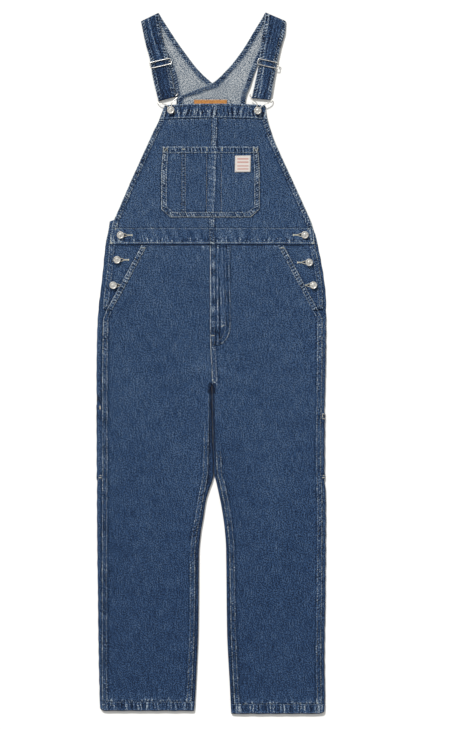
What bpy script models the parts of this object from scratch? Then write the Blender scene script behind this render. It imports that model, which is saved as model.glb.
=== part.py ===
"""Denim dungarees laid flat, front up, straps spread towards +Y.

The garment lies on its back. +X is the wearer's left, +Y runs from the hems to the shoulders, and
+Z is up. The origin is the middle of the outline, on the surface that the garment lies on. "Right"
and "left" are the wearer's. Sizes are in millimetres, and a mesh is made in metres.

The lower layer is the back: legs, waistband, upper back and the two wings that cross behind the
neck. It is flat where it rests, and the leg backs fold round the sides and inseams to the front.
The upper layer is the front. Its cloth follows one height field, so neighbours and whatever is
sewn on top keep the same small gap.
"""

from collections import namedtuple
from math import atan2, cos, exp, pi, sin

import bmesh
import bpy

MM = 0.001
RIGHT, LEFT = -1, 1
SIDES = ((RIGHT, "right"), (LEFT, "left"))

# Cloth and trim
WALL = 1.2  # one layer of denim
HEM_WALL = 2.1  # a turned edge
WAIST_WALL = 1.8
WING_WALL = 1.0
TRIM_WALL = 1.0
STRAP_WALL = 1.3
GAP = 0.3  # between pieces
SEAM_GAP = 0.4  # between pieces that meet edge to edge
CHORD = 0.2  # how far a sheet's facets may stand above its height field
SEAM_WIDTH = 12.0  # a felled seam, and the turned edges of bib and pocket
SEAM_RISE = 0.9
SEAM_SLOPE = 1.2
TURNED_RISE = 0.8  # the wings' turned edges
TURNED_WIDTH = 11.5
FOLD_RADIUS, FOLD_POINTS = 4.5, 6  # of the cloth where it turns under
FOLD_SHARE = 0.62  # the most of the way to its seam that a fold's radius takes
FLAT_STEP = 1.6  # between the same points where the cloth ends flat instead
WIRE = 2.2

# Heights up the garment
BIB_TOP, BAND_FOOT = 607.5, 573.5
WAIST_TOP, WAIST_SEAM = 317.0, 277.0
WING_FOOT = 552.0
SLANT_FOOT = 124.0
SIDE_OPEN, SIDE_CLOSED = 132.0, 100.0  # the side opening's foot, and where the back has turned up
SIDE_SEAM_TOP = 102.0
CROTCH, CROTCH_END = -46.0, -62.0
HEM_TOP = {RIGHT: -790.0, LEFT: -796.0}
HEM_FOOT = {RIGHT: -812.0, LEFT: -819.0}
HEM_LIFT, HEM_LIFT_REACH = 6.0, 4.0  # the rounded corner at a hem's side
HEM_SHARES = (0.0, 0.5, 1.0)
BACK_SEAM_X = 1.2

# The front's outline, and the back's where it shows outside the front
Side = namedtuple("Side", "y outer edge")
SIDE_ROWS = {
    RIGHT: (
        Side(608, -109.3, -109.3),
        Side(572, -123.3, -123.3),
        Side(498, -156.2, -156.2),
        Side(424, -189.7, -189.7),
        Side(349, -221.9, -221.9),
        Side(329, -230.5, -230.5),
        Side(306, -242.0, -235.5),
        Side(277, -248.0, -239.0),
        Side(242, -251.6, -241.5),
        Side(195, -256.2, -246.5),
        Side(149, -261.9, -252.0),
        Side(102, -266.2, -253.3),
        Side(55, -267.9, -254.5),
        Side(-38, -269.0, -255.5),
        Side(-120, -267.7, -255.5),
        Side(-249, -267.2, -255.5),
        Side(-310, -268.0, -255.7),
        Side(-436, -267.2, -256.0),
        Side(-540, -265.7, -256.2),
        Side(-647, -264.5, -256.2),
        Side(-790, -261.5, -255.6),
        Side(-820, -260.2, -254.4),
    ),
    LEFT: (
        Side(608, 125.6, 125.6),
        Side(590, 127.5, 127.5),
        Side(572, 131.5, 131.5),
        Side(536, 141.6, 141.6),
        Side(498, 157.4, 157.4),
        Side(424, 191.2, 191.2),
        Side(349, 225.0, 225.0),
        Side(329, 233.4, 233.4),
        Side(306, 241.6, 238.6),
        Side(277, 248.3, 242.0),
        Side(242, 255.2, 249.5),
        Side(195, 263.0, 257.0),
        Side(149, 267.4, 260.5),
        Side(102, 267.6, 259.5),
        Side(20, 267.2, 259.3),
        Side(-60, 265.6, 258.2),
        Side(-132, 263.6, 257.0),
        Side(-249, 263.2, 256.6),
        Side(-320, 267.2, 259.3),
        Side(-530, 266.3, 258.6),
        Side(-694, 264.0, 256.5),
        Side(-790, 265.2, 257.8),
        Side(-820, 264.0, 256.8),
    ),
}

# Between the legs: the front panel's inseam and the fold of the back panel past it
Inner = namedtuple("Inner", "y fold inseam")
INNER_ROWS = {
    RIGHT: (
        Inner(-40, 0.8, 0.8),
        Inner(-46, 0.8, 0.6),
        Inner(-62, 0.8, -4.5),
        Inner(-165, 2.6, -6.0),
        Inner(-261, 5.0, -9.0),
        Inner(-273, 2.5, -10.5),
        Inner(-296, -5.8, -15.0),
        Inner(-320, -12.9, -19.5),
        Inner(-359, -19.0, -26.0),
        Inner(-399, -25.5, -33.5),
        Inner(-446, -29.4, -37.8),
        Inner(-549, -30.1, -38.4),
        Inner(-625, -31.1, -39.6),
        Inner(-700, -34.1, -42.4),
        Inner(-790, -38.8, -46.5),
        Inner(-820, -41.5, -49.0),
    ),
    LEFT: (
        Inner(-40, 1.6, 1.6),
        Inner(-46, 1.6, 1.8),
        Inner(-62, 1.6, 6.5),
        Inner(-165, 3.6, 9.0),
        Inner(-261, 6.2, 13.5),
        Inner(-273, 9.8, 17.5),
        Inner(-296, 15.2, 22.5),
        Inner(-343, 24.6, 31.5),
        Inner(-390, 31.0, 38.0),
        Inner(-430, 33.9, 41.0),
        Inner(-624, 36.3, 45.0),
        Inner(-764, 43.3, 51.5),
        Inner(-790, 44.5, 53.0),
        Inner(-820, 46.0, 54.5),
    ),
}

# The back waistband's right end, which stands out past the bib, from its top down
Corner = namedtuple("Corner", "y x")
BACK_CORNER = (Corner(335.5, -229.5), Corner(332.3, -238.1), Corner(319.4, -239.9), Corner(306.0, -242.2))

# The line where the left front laps over the right front
Centre = namedtuple("Centre", "y x")
CENTRE_ROWS = (
    Centre(608, 1.5),
    Centre(420, -2.5),
    Centre(317, -6.0),
    Centre(277, -4.0),
    Centre(60, -3.5),
    Centre(-46, 1.2),
    Centre(-70, 1.2),
)

# Underside of the front's cloth, in the middle, at the side and between the legs
Height = namedtuple("Height", "y middle side inner")
HEIGHT_ROWS = (
    Height(608, 6.2, 2.4, 6.2),
    Height(585, 6.2, 2.4, 6.2),
    Height(545, 4.4, 2.1, 4.4),
    Height(515, 2.8, 1.9, 2.8),
    Height(400, 2.6, 1.7, 2.6),
    Height(335, 2.9, 2.3, 2.9),
    Height(280, 2.9, 2.3, 2.9),
    Height(180, 2.7, 2.1, 2.7),
    Height(110, 2.8, 4.6, 2.8),
    Height(55, 2.8, 5.2, 2.8),
    Height(-46, 2.8, 5.2, 3.2),
    Height(-120, 2.7, 5.2, 4.4),
    Height(-261, 2.6, 5.0, 4.8),
    Height(-600, 2.6, 5.0, 4.8),
    Height(-790, 4.6, 5.0, 4.8),
    Height(-820, 5.2, 5.0, 4.8),
)
EDGE_REACH = 28.0

# Soft folds of the front: the middle of each, its direction, half length, half width and height
Fold = namedtuple("Fold", "x y degrees length width height")
FOLDS = (
    Fold(-70, -20, 18, 70, 13, 1.3),
    Fold(70, -35, -15, 75, 13, 1.2),
    Fold(-95, -95, 32, 60, 15, 1.0),
    Fold(98, -105, -30, 60, 15, 1.0),
    Fold(-30, 235, 64, 38, 9, 1.0),
    Fold(72, 215, -70, 45, 12, 0.9),
    Fold(-150, -330, 86, 130, 24, 1.0),
    Fold(152, -390, -87, 140, 24, 1.0),
    Fold(-120, 455, 58, 60, 13, 0.9),
    Fold(165, 420, -60, 60, 13, 0.9),
)

# Slanted pocket openings, from the waistband down to the side seam
Slant = namedtuple("Slant", "top_x foot_x")
SLANT_TOP = 274.0
SLANTS = {RIGHT: Slant(-165.0, -246.0), LEFT: Slant(170.0, 250.0)}
SLANT_BAND = 13.5  # the stitched band along the opening
BEARER_LAP, BEARER_FOOT = 16.0, 80.0
BEARER_EASE = (4.0, 40.0)  # past its edge, how the front panel comes down from it
BEARER_HEM = (165.0, 205.0)  # the side opening's facing thins out between these
BEARER_STEP = 24.0

# Bib pocket and what is sewn on it
POCKET_TOP, POCKET_FOOT, POCKET_HEM = 507.5, 341.5, 16.0
POCKET_RIGHT, POCKET_LEFT, POCKET_TAPER, TAPER_FOOT = -117.5, 113.0, 3.5, 440.0
POCKET_CORNER_X, POCKET_CORNER_Y = 21.5, 19.0
POCKET_STEP = 26.0
LABEL_X, LABEL_Y = (54.5, 91.0), (447.0, 485.5)
FLY_WIDTH, FLY_TIP, FLY_FOOT, FLY_BEND = 48.5, 17.0, 43.0, 95.0
FLY_STATIONS = (FLY_BEND, 72.0, 60.0, 51.0)
FLY_POWER = 2.2  # how square the fly's curve is
WAIST_STATIONS = (WAIST_TOP - SEAM_GAP, 305.0, 291.0, WAIST_SEAM)
WAIST_STEP = (283.0, 303.0)  # the waistband stands on the panels' top edges below this
BAND_SAG, BAND_MIDDLE, BAND_HALF = 3.5, 9.0, 118.0
BAND_SHARES = (1.0, 0.6, 0.3, 0.0)
SAG_START = 540.0
BIB_STEP = 28.0

# How far an extra section keeps the even ones off, and how near a panel's ends it may come
STATION_CLEAR, END_CLEAR = 7.0, 4.0

# Where the legs' sections lie besides every LEG_STEP
LEG_STEP = 48.0
LEG_STATIONS = (
    SLANT_FOOT, SIDE_SEAM_TOP, 60.0, FLY_FOOT, CROTCH, -54.0, CROTCH_END, -261.0, -280.0, -310.0
)

# The upper back under the bib
UPPER_BACK_STEP = 30.0
Back = namedtuple("Back", "y right left")
UPPER_BACK_ROWS = (
    Back(551.5, -82.0, 78.5),
    Back(500, -92.0, 92.0),
    Back(440, -128.0, 134.0),
    Back(385, -172.0, 176.0),
    Back(BACK_CORNER[0].y + SEAM_GAP, -212.0, 208.0),
)

# The wings: the neck edge, the arm edge and the underside, from the shoulder down
Wing = namedtuple("Wing", "neck_x neck_y arm_x arm_y height")
WING_ROWS = {
    RIGHT: (
        Wing(-124.0, 820.5, -165.1, 800.5, 0.0),
        Wing(-96.6, 776.9, -139.2, 762.0, 0.0),
        Wing(-64.6, 730.1, -109.0, 715.5, 0.0),
        Wing(-27.8, 683.3, -93.0, 676.0, 0.0),
        Wing(-1.5, 659.0, -86.6, 644.7, 0.0),
        Wing(36.0, 630.0, -83.4, 626.0, 0.0),
        Wing(76.0, 610.0, -82.0, 609.6, 0.0),
        Wing(77.0, WING_FOOT, -82.0, WING_FOOT, 0.0),
    ),
    LEFT: (
        Wing(126.2, 821.3, 173.8, 801.0, 0.0),
        Wing(102.0, 781.0, 146.0, 766.0, 0.0),
        Wing(67.0, 725.0, 118.5, 720.7, 0.0),
        Wing(36.5, 687.5, 103.0, 684.5, 0.9),
        Wing(0.0, 654.5, 89.7, 647.0, 2.2),
        Wing(-41.4, 638.5, 82.3, 628.3, 2.2),
        Wing(-78.0, 617.0, 79.3, 611.9, 2.2),
        Wing(-79.5, WING_FOOT, 78.5, WING_FOOT, 2.2),
    ),
}
WING_STEPS = 18
WING_TOP = WING_ROWS[LEFT][-1].height + WING_WALL  # where the wings cross
PATCH_X, PATCH_Y, PATCH_CORNER = (-46.0, 45.0), (590.0, 620.5), 9.0
PATCH_DROPS = (0.0, 1.5, 4.0, PATCH_CORNER)  # where its rounded corners' sections lie
TAN_X, TAN_Y = (-41.0, 36.5), (590.0, 616.5)

# The straps' edges on the front, from the shoulder fold down to the buckle
Strap = namedtuple("Strap", "part neck_x neck_y arm_x arm_y")
STRAP_ROWS = {
    RIGHT: (
        Strap(0.0, -124.0, 820.5, -165.1, 800.5),
        Strap(0.25, -116.0, 769.0, -155.0, 751.2),
        Strap(0.53, -99.9, 711.4, -142.3, 702.0),
        Strap(0.67, -95.0, 685.2, -138.6, 675.4),
        Strap(1.0, -83.1, 623.6, -124.0, 613.1),
    ),
    LEFT: (
        Strap(0.0, 126.2, 821.3, 173.8, 801.0),
        Strap(0.13, 123.0, 793.0, 172.3, 776.0),
        Strap(0.25, 119.0, 769.0, 166.0, 753.0),
        Strap(0.39, 115.0, 740.0, 158.8, 727.0),
        Strap(0.53, 112.0, 711.5, 153.0, 701.5),
        Strap(1.0, 94.1, 620.3, 138.1, 615.9),
    ),
}
STRAP_LENGTH, STRAP_TAIL = 193.0, 3.0
# The outer face of the strap as it runs down, round the buckle's bar and back up to the slider
Turn = namedtuple("Turn", "down height")
STRAP_TURNS = (
    Turn(STRAP_TAIL, 0.0),
    Turn(1.0, 0.5),
    Turn(0.0, 2.2),
    Turn(1.0, 3.9),
    Turn(3.5, 4.4),
    Turn(25.0, 4.6),
    Turn(60.0, 5.0),
    Turn(95.0, 6.1),
    Turn(112.0, 6.3),
    Turn(132.0, 6.1),
    Turn(165.0, 6.3),
    Turn(190.0, 6.5),
    Turn(192.2, 5.8),
    Turn(193.0, 3.9),
    Turn(192.2, 1.9),
    Turn(190.0, 1.2),
    Turn(165.0, 1.5),
    Turn(140.0, 2.1),
    Turn(121.0, 2.2),
)
STRAP_COLUMNS = (0.0, 0.12, 0.2, 0.5, 0.8, 0.88, 1.0)

# Wire sliders, in (across, down, height) about their middle: one bent wire with a bar under the
# strap and a frame over it
SLIDER_MIDDLE = {RIGHT: (-118.8, 701.8), LEFT: (132.6, 700.8)}
SLIDER_DEGREES = {RIGHT: 12.6, LEFT: -12.6}
SLIDER_HALF, SLIDER_DEPTH, SLIDER_BEND = 24.8, 6.8, 1.8
SLIDER_OVER, SLIDER_UNDER = 7.8, 3.3

# Wire buckles, in (across, down, height share): from the curl by the strap, through its loop,
# down both sides and round the button's shank
BUCKLE_ROUTE = (
    (-25.0, -8.5, 0.3),
    (-25.6, -5.4, 0.1),
    (-23.8, -3.0, 0.0),
    (-19.0, -3.0, 0.0),
    (0.0, -3.0, 0.0),
    (19.0, -3.0, 0.0),
    (22.8, -3.0, 0.0),
    (24.4, -1.0, 0.1),
    (23.8, 1.8, 0.35),
    (21.2, 4.8, 0.65),
    (14.5, 8.0, 0.95),
    (7.6, 11.6, 1.0),
    (5.0, 16.0, 1.0),
    (4.4, 20.5, 1.0),
    (6.0, 24.6, 1.0),
    (6.4, 28.6, 1.0),
    (4.4, 32.6, 1.0),
    (0.0, 34.2, 1.0),
    (-4.4, 32.6, 1.0),
    (-6.4, 28.6, 1.0),
    (-6.0, 24.6, 1.0),
    (-4.4, 20.5, 1.0),
    (-5.0, 16.0, 1.0),
    (-7.6, 11.6, 1.0),
    (-14.5, 8.0, 0.95),
    (-20.4, 5.0, 0.75),
    (-23.0, 2.6, 0.6),
)
BUCKLE_BAR = 3.9  # height of the bar in the strap's loop
BUCKLE_REACH = 28.6  # from the strap's end to the button
BUCKLE_TURN = 12.0  # how far down it has turned from the strap's way to the button's
STRAP_HALF = 20.5  # half of the strap's width at its end, as the route has it
STRAP_AIM = 10.0  # the length of strap that its way at the end is read from

# Buttons
BIB_BUTTONS = {RIGHT: (-95.2, 592.0), LEFT: (108.1, 590.6)}
SIDE_BUTTONS = {
    RIGHT: ((-212.7, 300.0), (-220.7, 242.4), (-229.8, 182.8)),
    LEFT: ((218.3, 300.5), (228.4, 236.3), (238.0, 183.0)),
}
BUTTON_RADIUS, BUTTON_DISH, BUTTON_HEAD = 8.5, 5.4, 2.6
SEAT_POINTS = 12  # where the cloth's height is read round a button's foot
BUTTON_FOOT, BUTTON_SHANK = 4.6, 2.6
BIB_SHANK_HEIGHT, SIDE_SHANK_HEIGHT = 3.4, 1.9
BUCKLE_CLEAR = 8.0  # how far round a button its buckle clears the band

# Utility trim that wraps the side folds below the hips
TRIM_SPANS = {RIGHT: (-97.0, -272.0), LEFT: (-115.0, -270.0)}
TRIM_NAMES = {RIGHT: "tool_pocket_edge", LEFT: "hammer_loop"}
TRIM_STEP = 44.0

DENIM = ("denim", (0.055, 0.095, 0.165, 1.0), 0.9, 0.0)
DENIM_INSIDE = ("denim_inside", (0.33, 0.38, 0.43, 1.0), 0.92, 0.0)
TAN = ("tan_patch", (0.48, 0.27, 0.09, 1.0), 0.7, 0.0)
WHITE = ("woven_label", (0.75, 0.74, 0.70, 1.0), 0.85, 0.0)
NICKEL = ("nickel", (0.62, 0.60, 0.56, 1.0), 0.35, 1.0)


def material(kind):
    """The Principled material of that kind, made once."""
    name, colour, roughness, metallic = kind
    if name not in bpy.data.materials:
        made = bpy.data.materials.new(name)
        made.use_nodes = True
        shader = made.node_tree.nodes["Principled BSDF"]
        shader.inputs["Base Color"].default_value = colour
        shader.inputs["Roughness"].default_value = roughness
        shader.inputs["Metallic"].default_value = metallic
    return bpy.data.materials[name]


# Reading the tables


def smooth(rows, column, at, along="y"):
    """The column's value where `along` is `at`, on a curve through the rows that never overshoots."""
    rows = sorted(rows, key=lambda row: getattr(row, along))
    places = [getattr(row, along) for row in rows]
    values = [getattr(row, column) for row in rows]
    at = min(max(at, places[0]), places[-1])
    last = max(i for i, place in enumerate(places[:-1]) if place <= at)
    slopes = [
        (values[i + 1] - values[i]) / (places[i + 1] - places[i]) for i in range(len(rows) - 1)
    ]

    def tangent(i):
        if i in (0, len(rows) - 1):
            return slopes[min(i, len(slopes) - 1)]
        before, after = slopes[i - 1], slopes[i]
        return 0.0 if before * after <= 0 else 2 * before * after / (before + after)

    span = places[last + 1] - places[last]
    t = (at - places[last]) / span
    return (
        values[last] * (1 + 2 * t) * (1 - t) ** 2
        + tangent(last) * span * t * (1 - t) ** 2
        + values[last + 1] * t * t * (3 - 2 * t)
        + tangent(last + 1) * span * t * t * (t - 1)
    )


def outer_x(side, y):
    return smooth(SIDE_ROWS[side], "outer", y)


def edge_x(side, y):
    return smooth(SIDE_ROWS[side], "edge", y)


def fold_x(side, y):
    return smooth(INNER_ROWS[side], "fold", y)


def inseam_x(side, y):
    return smooth(INNER_ROWS[side], "inseam", y)


def centre_x(y):
    return smooth(CENTRE_ROWS, "x", y)


def slant_x(side, y):
    slant = SLANTS[side]
    down = (SLANT_TOP - y) / (SLANT_TOP - SLANT_FOOT)
    return slant.top_x + (slant.foot_x - slant.top_x) * down


def ramp(value, low, high):
    """0 at low, 1 at high, eased between them."""
    t = min(max((value - low) / (high - low), 0.0), 1.0)
    return t * t * (3 - 2 * t)


def ridge(inside, width=SEAM_WIDTH, rise=SEAM_RISE):
    """The rise of a felled or turned edge, this far inside it."""
    return rise * min(max((width + SEAM_SLOPE - inside) / SEAM_SLOPE, 0.0), 1.0)


# Heights


def fold_rise(x, y):
    total = 0.0
    for fold in FOLDS:
        angle = fold.degrees * pi / 180
        along = (x - fold.x) * cos(angle) + (y - fold.y) * sin(angle)
        across = (y - fold.y) * cos(angle) - (x - fold.x) * sin(angle)
        total += fold.height * exp(-((along / fold.length) ** 2) - (across / fold.width) ** 2)
    return total


def front_height(x, y):
    """Height of the underside of the front's cloth."""
    middle = smooth(HEIGHT_ROWS, "middle", y)
    side_rise = smooth(HEIGHT_ROWS, "side", y) - middle
    inner_rise = smooth(HEIGHT_ROWS, "inner", y) - middle
    side = LEFT if x > centre_x(y) else RIGHT
    from_side = max(side * (outer_x(side, y) - x), 0.0)
    from_inner = max(side * (x - fold_x(side, y)), 0.0)
    height = middle + side_rise * exp(-((from_side / EDGE_REACH) ** 2))
    height += inner_rise * exp(-((from_inner / EDGE_REACH) ** 2))
    return height + fold_rise(x, y)


def leg_front_height(side, x, y):
    """Underside of a leg's front panel: over the pocket bearer, and raised at its felled seams."""
    height = front_height(x, y)
    if y > CROTCH:
        if side == LEFT:
            height += ridge(x - centre_x(y))
    else:
        height += ridge(side * (x - inseam_x(side, y))) * ramp(-y, -CROTCH, -CROTCH_END)
    if y < SLANT_FOOT:
        seam_share = ramp(-y, -SLANT_FOOT, -SIDE_SEAM_TOP)
        height += ridge(side * (edge_x(side, y) - x)) * seam_share
    from_slant = side * (slant_x(side, max(y, SLANT_FOOT)) - x)
    lap = 1 - ramp(from_slant - BEARER_LAP, *BEARER_EASE)
    return height + (WALL + GAP) * lap * ramp(y, BEARER_FOOT, SLANT_FOOT)


def bib_top_height(x, y):
    """Upper face of the bib's cloth."""
    from_centre = x - centre_x(y)
    return front_height(x, y) + WALL + ridge(from_centre) * (from_centre > -SEAM_SLOPE / 2)


def pocket_top_height(x, y):
    return bib_top_height(x, y) + GAP + WALL


# Making meshes


def collection_for(name):
    made = bpy.data.collections.new(name)
    bpy.context.scene.collection.children.link(made)
    return made


def mesh_object(name, bm, kind):
    """The bmesh, in millimetres, as an object in metres with that material."""
    bmesh.ops.scale(bm, vec=(MM, MM, MM), verts=bm.verts)
    mesh = bpy.data.meshes.new(name)
    bm.to_mesh(mesh)
    bm.free()
    mesh.materials.append(material(kind))
    made = bpy.data.objects.new(name, mesh)
    GARMENT.objects.link(made)
    return made


def surface(rows, ring=False):
    """A bmesh sheet through rows of (x, y, z) points, each row closed if it is a ring."""
    bm = bmesh.new()
    grid = [[bm.verts.new(point) for point in row] for row in rows]
    for upper, lower in zip(grid, grid[1:]):
        count = len(upper)
        for i in range(count if ring else count - 1):
            j = (i + 1) % count
            bm.faces.new((upper[i], upper[j], lower[j], lower[i]))
    return bm


def laid_sheet(name, rows, wall, kind):
    """Cloth that lies flat: the sheet through the rows is its underside, thickened upwards."""
    bm = surface(rows)
    lifted = bmesh.ops.extrude_face_region(bm, geom=bm.faces[:], use_keep_orig=True)
    new_points = [item for item in lifted["geom"] if isinstance(item, bmesh.types.BMVert)]
    bmesh.ops.translate(bm, verts=new_points, vec=(0, 0, wall))
    bmesh.ops.recalc_face_normals(bm, faces=bm.faces[:])
    return mesh_object(name, bm, kind)


def folded_sheet(name, rows, wall, kind, inwards, ring=False, even=True):
    """Cloth that folds: the sheet through the rows is its outer face, thickened behind it.

    `inwards` is 1 or -1, whichever puts the wall behind the outer face."""
    made = mesh_object(name, surface(rows, ring), kind)
    shell = made.modifiers.new("wall", "SOLIDIFY")
    shell.thickness = wall * MM
    shell.offset = inwards
    shell.use_even_offset = even
    shell.use_quality_normals = True
    return made


def wire(name, points):
    """A round wire along the points, in millimetres, with filled ends."""
    curve = bpy.data.curves.new(name, "CURVE")
    curve.dimensions = "3D"
    curve.bevel_depth = WIRE / 2 * MM
    curve.bevel_resolution = 2
    curve.use_fill_caps = True
    spline = curve.splines.new("POLY")
    spline.points.add(len(points) - 1)
    for point, place in zip(spline.points, points):
        point.co = (place[0] * MM, place[1] * MM, place[2] * MM, 1.0)
    curve.materials.append(material(NICKEL))
    made = bpy.data.objects.new(name, curve)
    GARMENT.objects.link(made)
    return made


def turned(name, profile, place, kind, steps=14):
    """A round piece: its (radius, height) profile, from the top of its axis down, turned round Z."""
    mesh = bpy.data.meshes.new(name)
    points = [(radius * MM, 0.0, height * MM) for radius, height in profile]
    mesh.from_pydata(points, [(i, i + 1) for i in range(len(points) - 1)], [])
    mesh.materials.append(material(kind))
    made = bpy.data.objects.new(name, mesh)
    made.location = [value * MM for value in place]
    screw = made.modifiers.new("turn", "SCREW")
    screw.steps = steps
    screw.render_steps = steps
    screw.use_merge_vertices = True
    screw.merge_threshold = 1e-6
    GARMENT.objects.link(made)
    return made


# Spacing


def spread(start, end, count):
    """`count` places from start to just before end."""
    return [start + (end - start) * i / count for i in range(count)]


def panel_columns(start, end, middle_count, start_seam=False, end_seam=False):
    """Places across a panel, with extra ones where a seam's rise ends."""
    direction = 1 if end > start else -1
    seam = [SEAM_WIDTH * direction, (SEAM_WIDTH + SEAM_SLOPE) * direction]
    left = [start] + ([start + step for step in seam] if start_seam else [])
    right = ([end - step for step in reversed(seam)] if end_seam else []) + [end]
    inside = spread(left[-1], right[0], middle_count)[1:]
    return left + inside + right


def stations(top, foot, step, extra=()):
    """Places down a panel: even steps, and the extra places that fall inside it."""
    count = max(int(round((top - foot) / step)), 1)
    places = spread(top, foot, count) + [foot]
    extra = [y for y in extra if foot + END_CLEAR < y < top - END_CLEAR]
    kept = [y for y in places if y in (top, foot) or all(abs(y - e) > STATION_CLEAR for e in extra)]
    return sorted(kept + extra, reverse=True)


# Legs


def leg_stations(side):
    return stations(WAIST_SEAM - SEAM_GAP, HEM_TOP[side] + SEAM_GAP, LEG_STEP, LEG_STATIONS)


def build_leg_front(side, name):
    rows = []
    for y in leg_stations(side):
        if y > SLANT_FOOT:
            outside = slant_x(side, y)
        else:
            share = ramp(-y, -SLANT_FOOT, -SIDE_SEAM_TOP)
            outside = slant_x(side, SLANT_FOOT) * (1 - share) + edge_x(side, y) * share
        inside = centre_x(y) + side * SEAM_GAP / 2 if y >= CROTCH else inseam_x(side, y)
        columns = panel_columns(outside, inside, 6, True, True)
        rows.append([(x, y, leg_front_height(side, x, y)) for x in columns])
    laid_sheet(f"leg_front_{name}", rows, WALL, DENIM)


def turned_edge(y, edge, seam, turn):
    """The back panel where it turns up at one of its folds, from its seam round to the underside.

    `turn` is 1 where it wraps round to the front and 0 where it lies flat; `seam` is on the front,
    and the fold itself is at `edge`. The points run from the seam to the flat underside."""
    inward = 1 if seam > edge else -1
    top = front_height(seam, y) + WALL
    radius = min(FOLD_RADIUS, FOLD_SHARE * abs(seam - edge))
    wrapped = [(seam - inward * SEAM_GAP, top)]
    for i in range(FOLD_POINTS):
        angle = pi / 2 - pi * i / (FOLD_POINTS - 1)
        x = edge + inward * radius * (1 - cos(angle))
        wrapped.append((x, top / 2 + top / 2 * sin(angle)))
    flat = [(edge + inward * FLAT_STEP * i, 0.0) for i in range(len(wrapped))]
    return [
        (f[0] + (w[0] - f[0]) * turn, y, f[1] + (w[1] - f[1]) * turn)
        for f, w in zip(flat, wrapped)
    ]


def build_leg_back(side, name):
    rows = []
    for y in leg_stations(side):
        seam_in = inseam_x(side, y)
        fold = fold_x(side, y)
        if y >= CROTCH:
            fold = BACK_SEAM_X + side * SEAM_GAP / 2
            seam_in = fold + side * FOLD_RADIUS
        side_turn = 1 - ramp(y, SIDE_CLOSED, SIDE_OPEN)
        outside = turned_edge(y, outer_x(side, y), edge_x(side, y), side_turn)
        inside = turned_edge(y, fold, seam_in, ramp(-y, -CROTCH, -CROTCH_END))
        across = spread(outside[-1][0], inside[-1][0], 4)[1:]
        rows.append(outside + [(x, y, 0.0) for x in across] + inside[::-1])
    folded_sheet(f"leg_back_{name}", rows, WALL, DENIM, side, even=False)


def hem_section(side, y, wall):
    """The outline of a leg at y, as (x, z): up its side, over the front, down and back under."""
    outer, inner = outer_x(side, y), fold_x(side, y)
    inward = -side
    edge_top = front_height(outer + inward * FOLD_RADIUS, y) + wall
    inner_top = front_height(inner - inward * FOLD_RADIUS, y) + wall
    points = []
    for i in range(FOLD_POINTS):
        angle = -pi / 2 + pi * i / (FOLD_POINTS - 1)
        x = outer + inward * FOLD_RADIUS * (1 - cos(angle))
        points.append((x, edge_top / 2 * (1 + sin(angle))))
    start, end = outer + inward * FOLD_RADIUS, inner - inward * FOLD_RADIUS
    for x in spread(start, end, 7)[1:]:
        points.append((x, front_height(x, y) + wall))
    for i in range(FOLD_POINTS):
        angle = pi / 2 - pi * i / (FOLD_POINTS - 1)
        x = inner - inward * FOLD_RADIUS * (1 - cos(angle))
        points.append((x, inner_top / 2 * (1 + sin(angle))))
    return points + [(x, 0.0) for x in spread(end, start, 4)[1:]]


def build_hem(side, name):
    rows = []
    for share in HEM_SHARES:
        y = HEM_TOP[side] + (HEM_FOOT[side] - HEM_TOP[side]) * share
        row = []
        for x, z in hem_section(side, y, HEM_WALL):
            lift = exp(-abs(x - outer_x(side, y)) / HEM_LIFT_REACH)
            row.append((x, y + HEM_LIFT * share * lift, z))
        rows.append(row)
    folded_sheet(f"leg_hem_{name}", rows, HEM_WALL, DENIM, -side, ring=True)


# Hips


def build_pocket_bearer(side, name):
    rows = []
    for y in stations(WAIST_SEAM - SEAM_GAP, SLANT_FOOT + 4, BEARER_STEP):
        outside = edge_x(side, y)
        inside = slant_x(side, y) - side * BEARER_LAP
        facing = ramp(y, *BEARER_HEM)
        row = []
        for x in panel_columns(outside, inside, 3, True):
            row.append((x, y, front_height(x, y) + facing * ridge(abs(x - outside))))
        rows.append(row)
    laid_sheet(f"pocket_bearer_{name}", rows, WALL, DENIM)


def build_pocket_edge(side, name):
    """The stitched band along the slanted opening, on top of the leg's front."""
    rows = []
    for y in stations(WAIST_SEAM - SEAM_GAP, SLANT_FOOT, BEARER_STEP):
        outside = slant_x(side, y) - side * SEAM_GAP
        inside = outside - side * SLANT_BAND
        row = []
        for x in spread(outside, inside, 3) + [inside]:
            row.append((x, y, leg_front_height(side, x, y) + WALL + GAP + CHORD))
        rows.append(row)
    laid_sheet(f"pocket_edge_{name}", rows, TRIM_WALL, DENIM)


def build_fly():
    """The fly, on the left front: straight down, then curved in to the centre line."""
    rows = []
    for y in stations(WAIST_SEAM - SEAM_GAP, FLY_FOOT, BEARER_STEP, FLY_STATIONS):
        start = centre_x(y) + SEAM_GAP
        curve = min(max((FLY_BEND - y) / (FLY_BEND - FLY_FOOT), 0.0), 1.0)
        width = FLY_TIP + (FLY_WIDTH - FLY_TIP) * (1 - curve**FLY_POWER) ** 0.5
        seam_foot = centre_x(y) + SEAM_WIDTH + SEAM_SLOPE
        columns = [start, seam_foot - SEAM_SLOPE] + spread(seam_foot, start + width, 3)
        columns.append(start + width)
        height = WALL + GAP + CHORD
        rows.append([(x, y, leg_front_height(LEFT, x, y) + height) for x in columns])
    laid_sheet("fly", rows, TRIM_WALL, DENIM)


def build_waistband(side, name):
    rows = []
    for y in WAIST_STATIONS:
        start = centre_x(y) + side * SEAM_GAP / 2
        step = 1.0 - ramp(y, *WAIST_STEP)
        row = []
        for x in panel_columns(start, edge_x(side, y), 6, side == LEFT):
            lap = ridge(x - centre_x(y)) if side == LEFT else 0.0
            row.append((x, y, front_height(x, y) + step + lap))
        rows.append(row)
    laid_sheet(f"waistband_front_{name}", rows, WAIST_WALL, DENIM)


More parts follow.
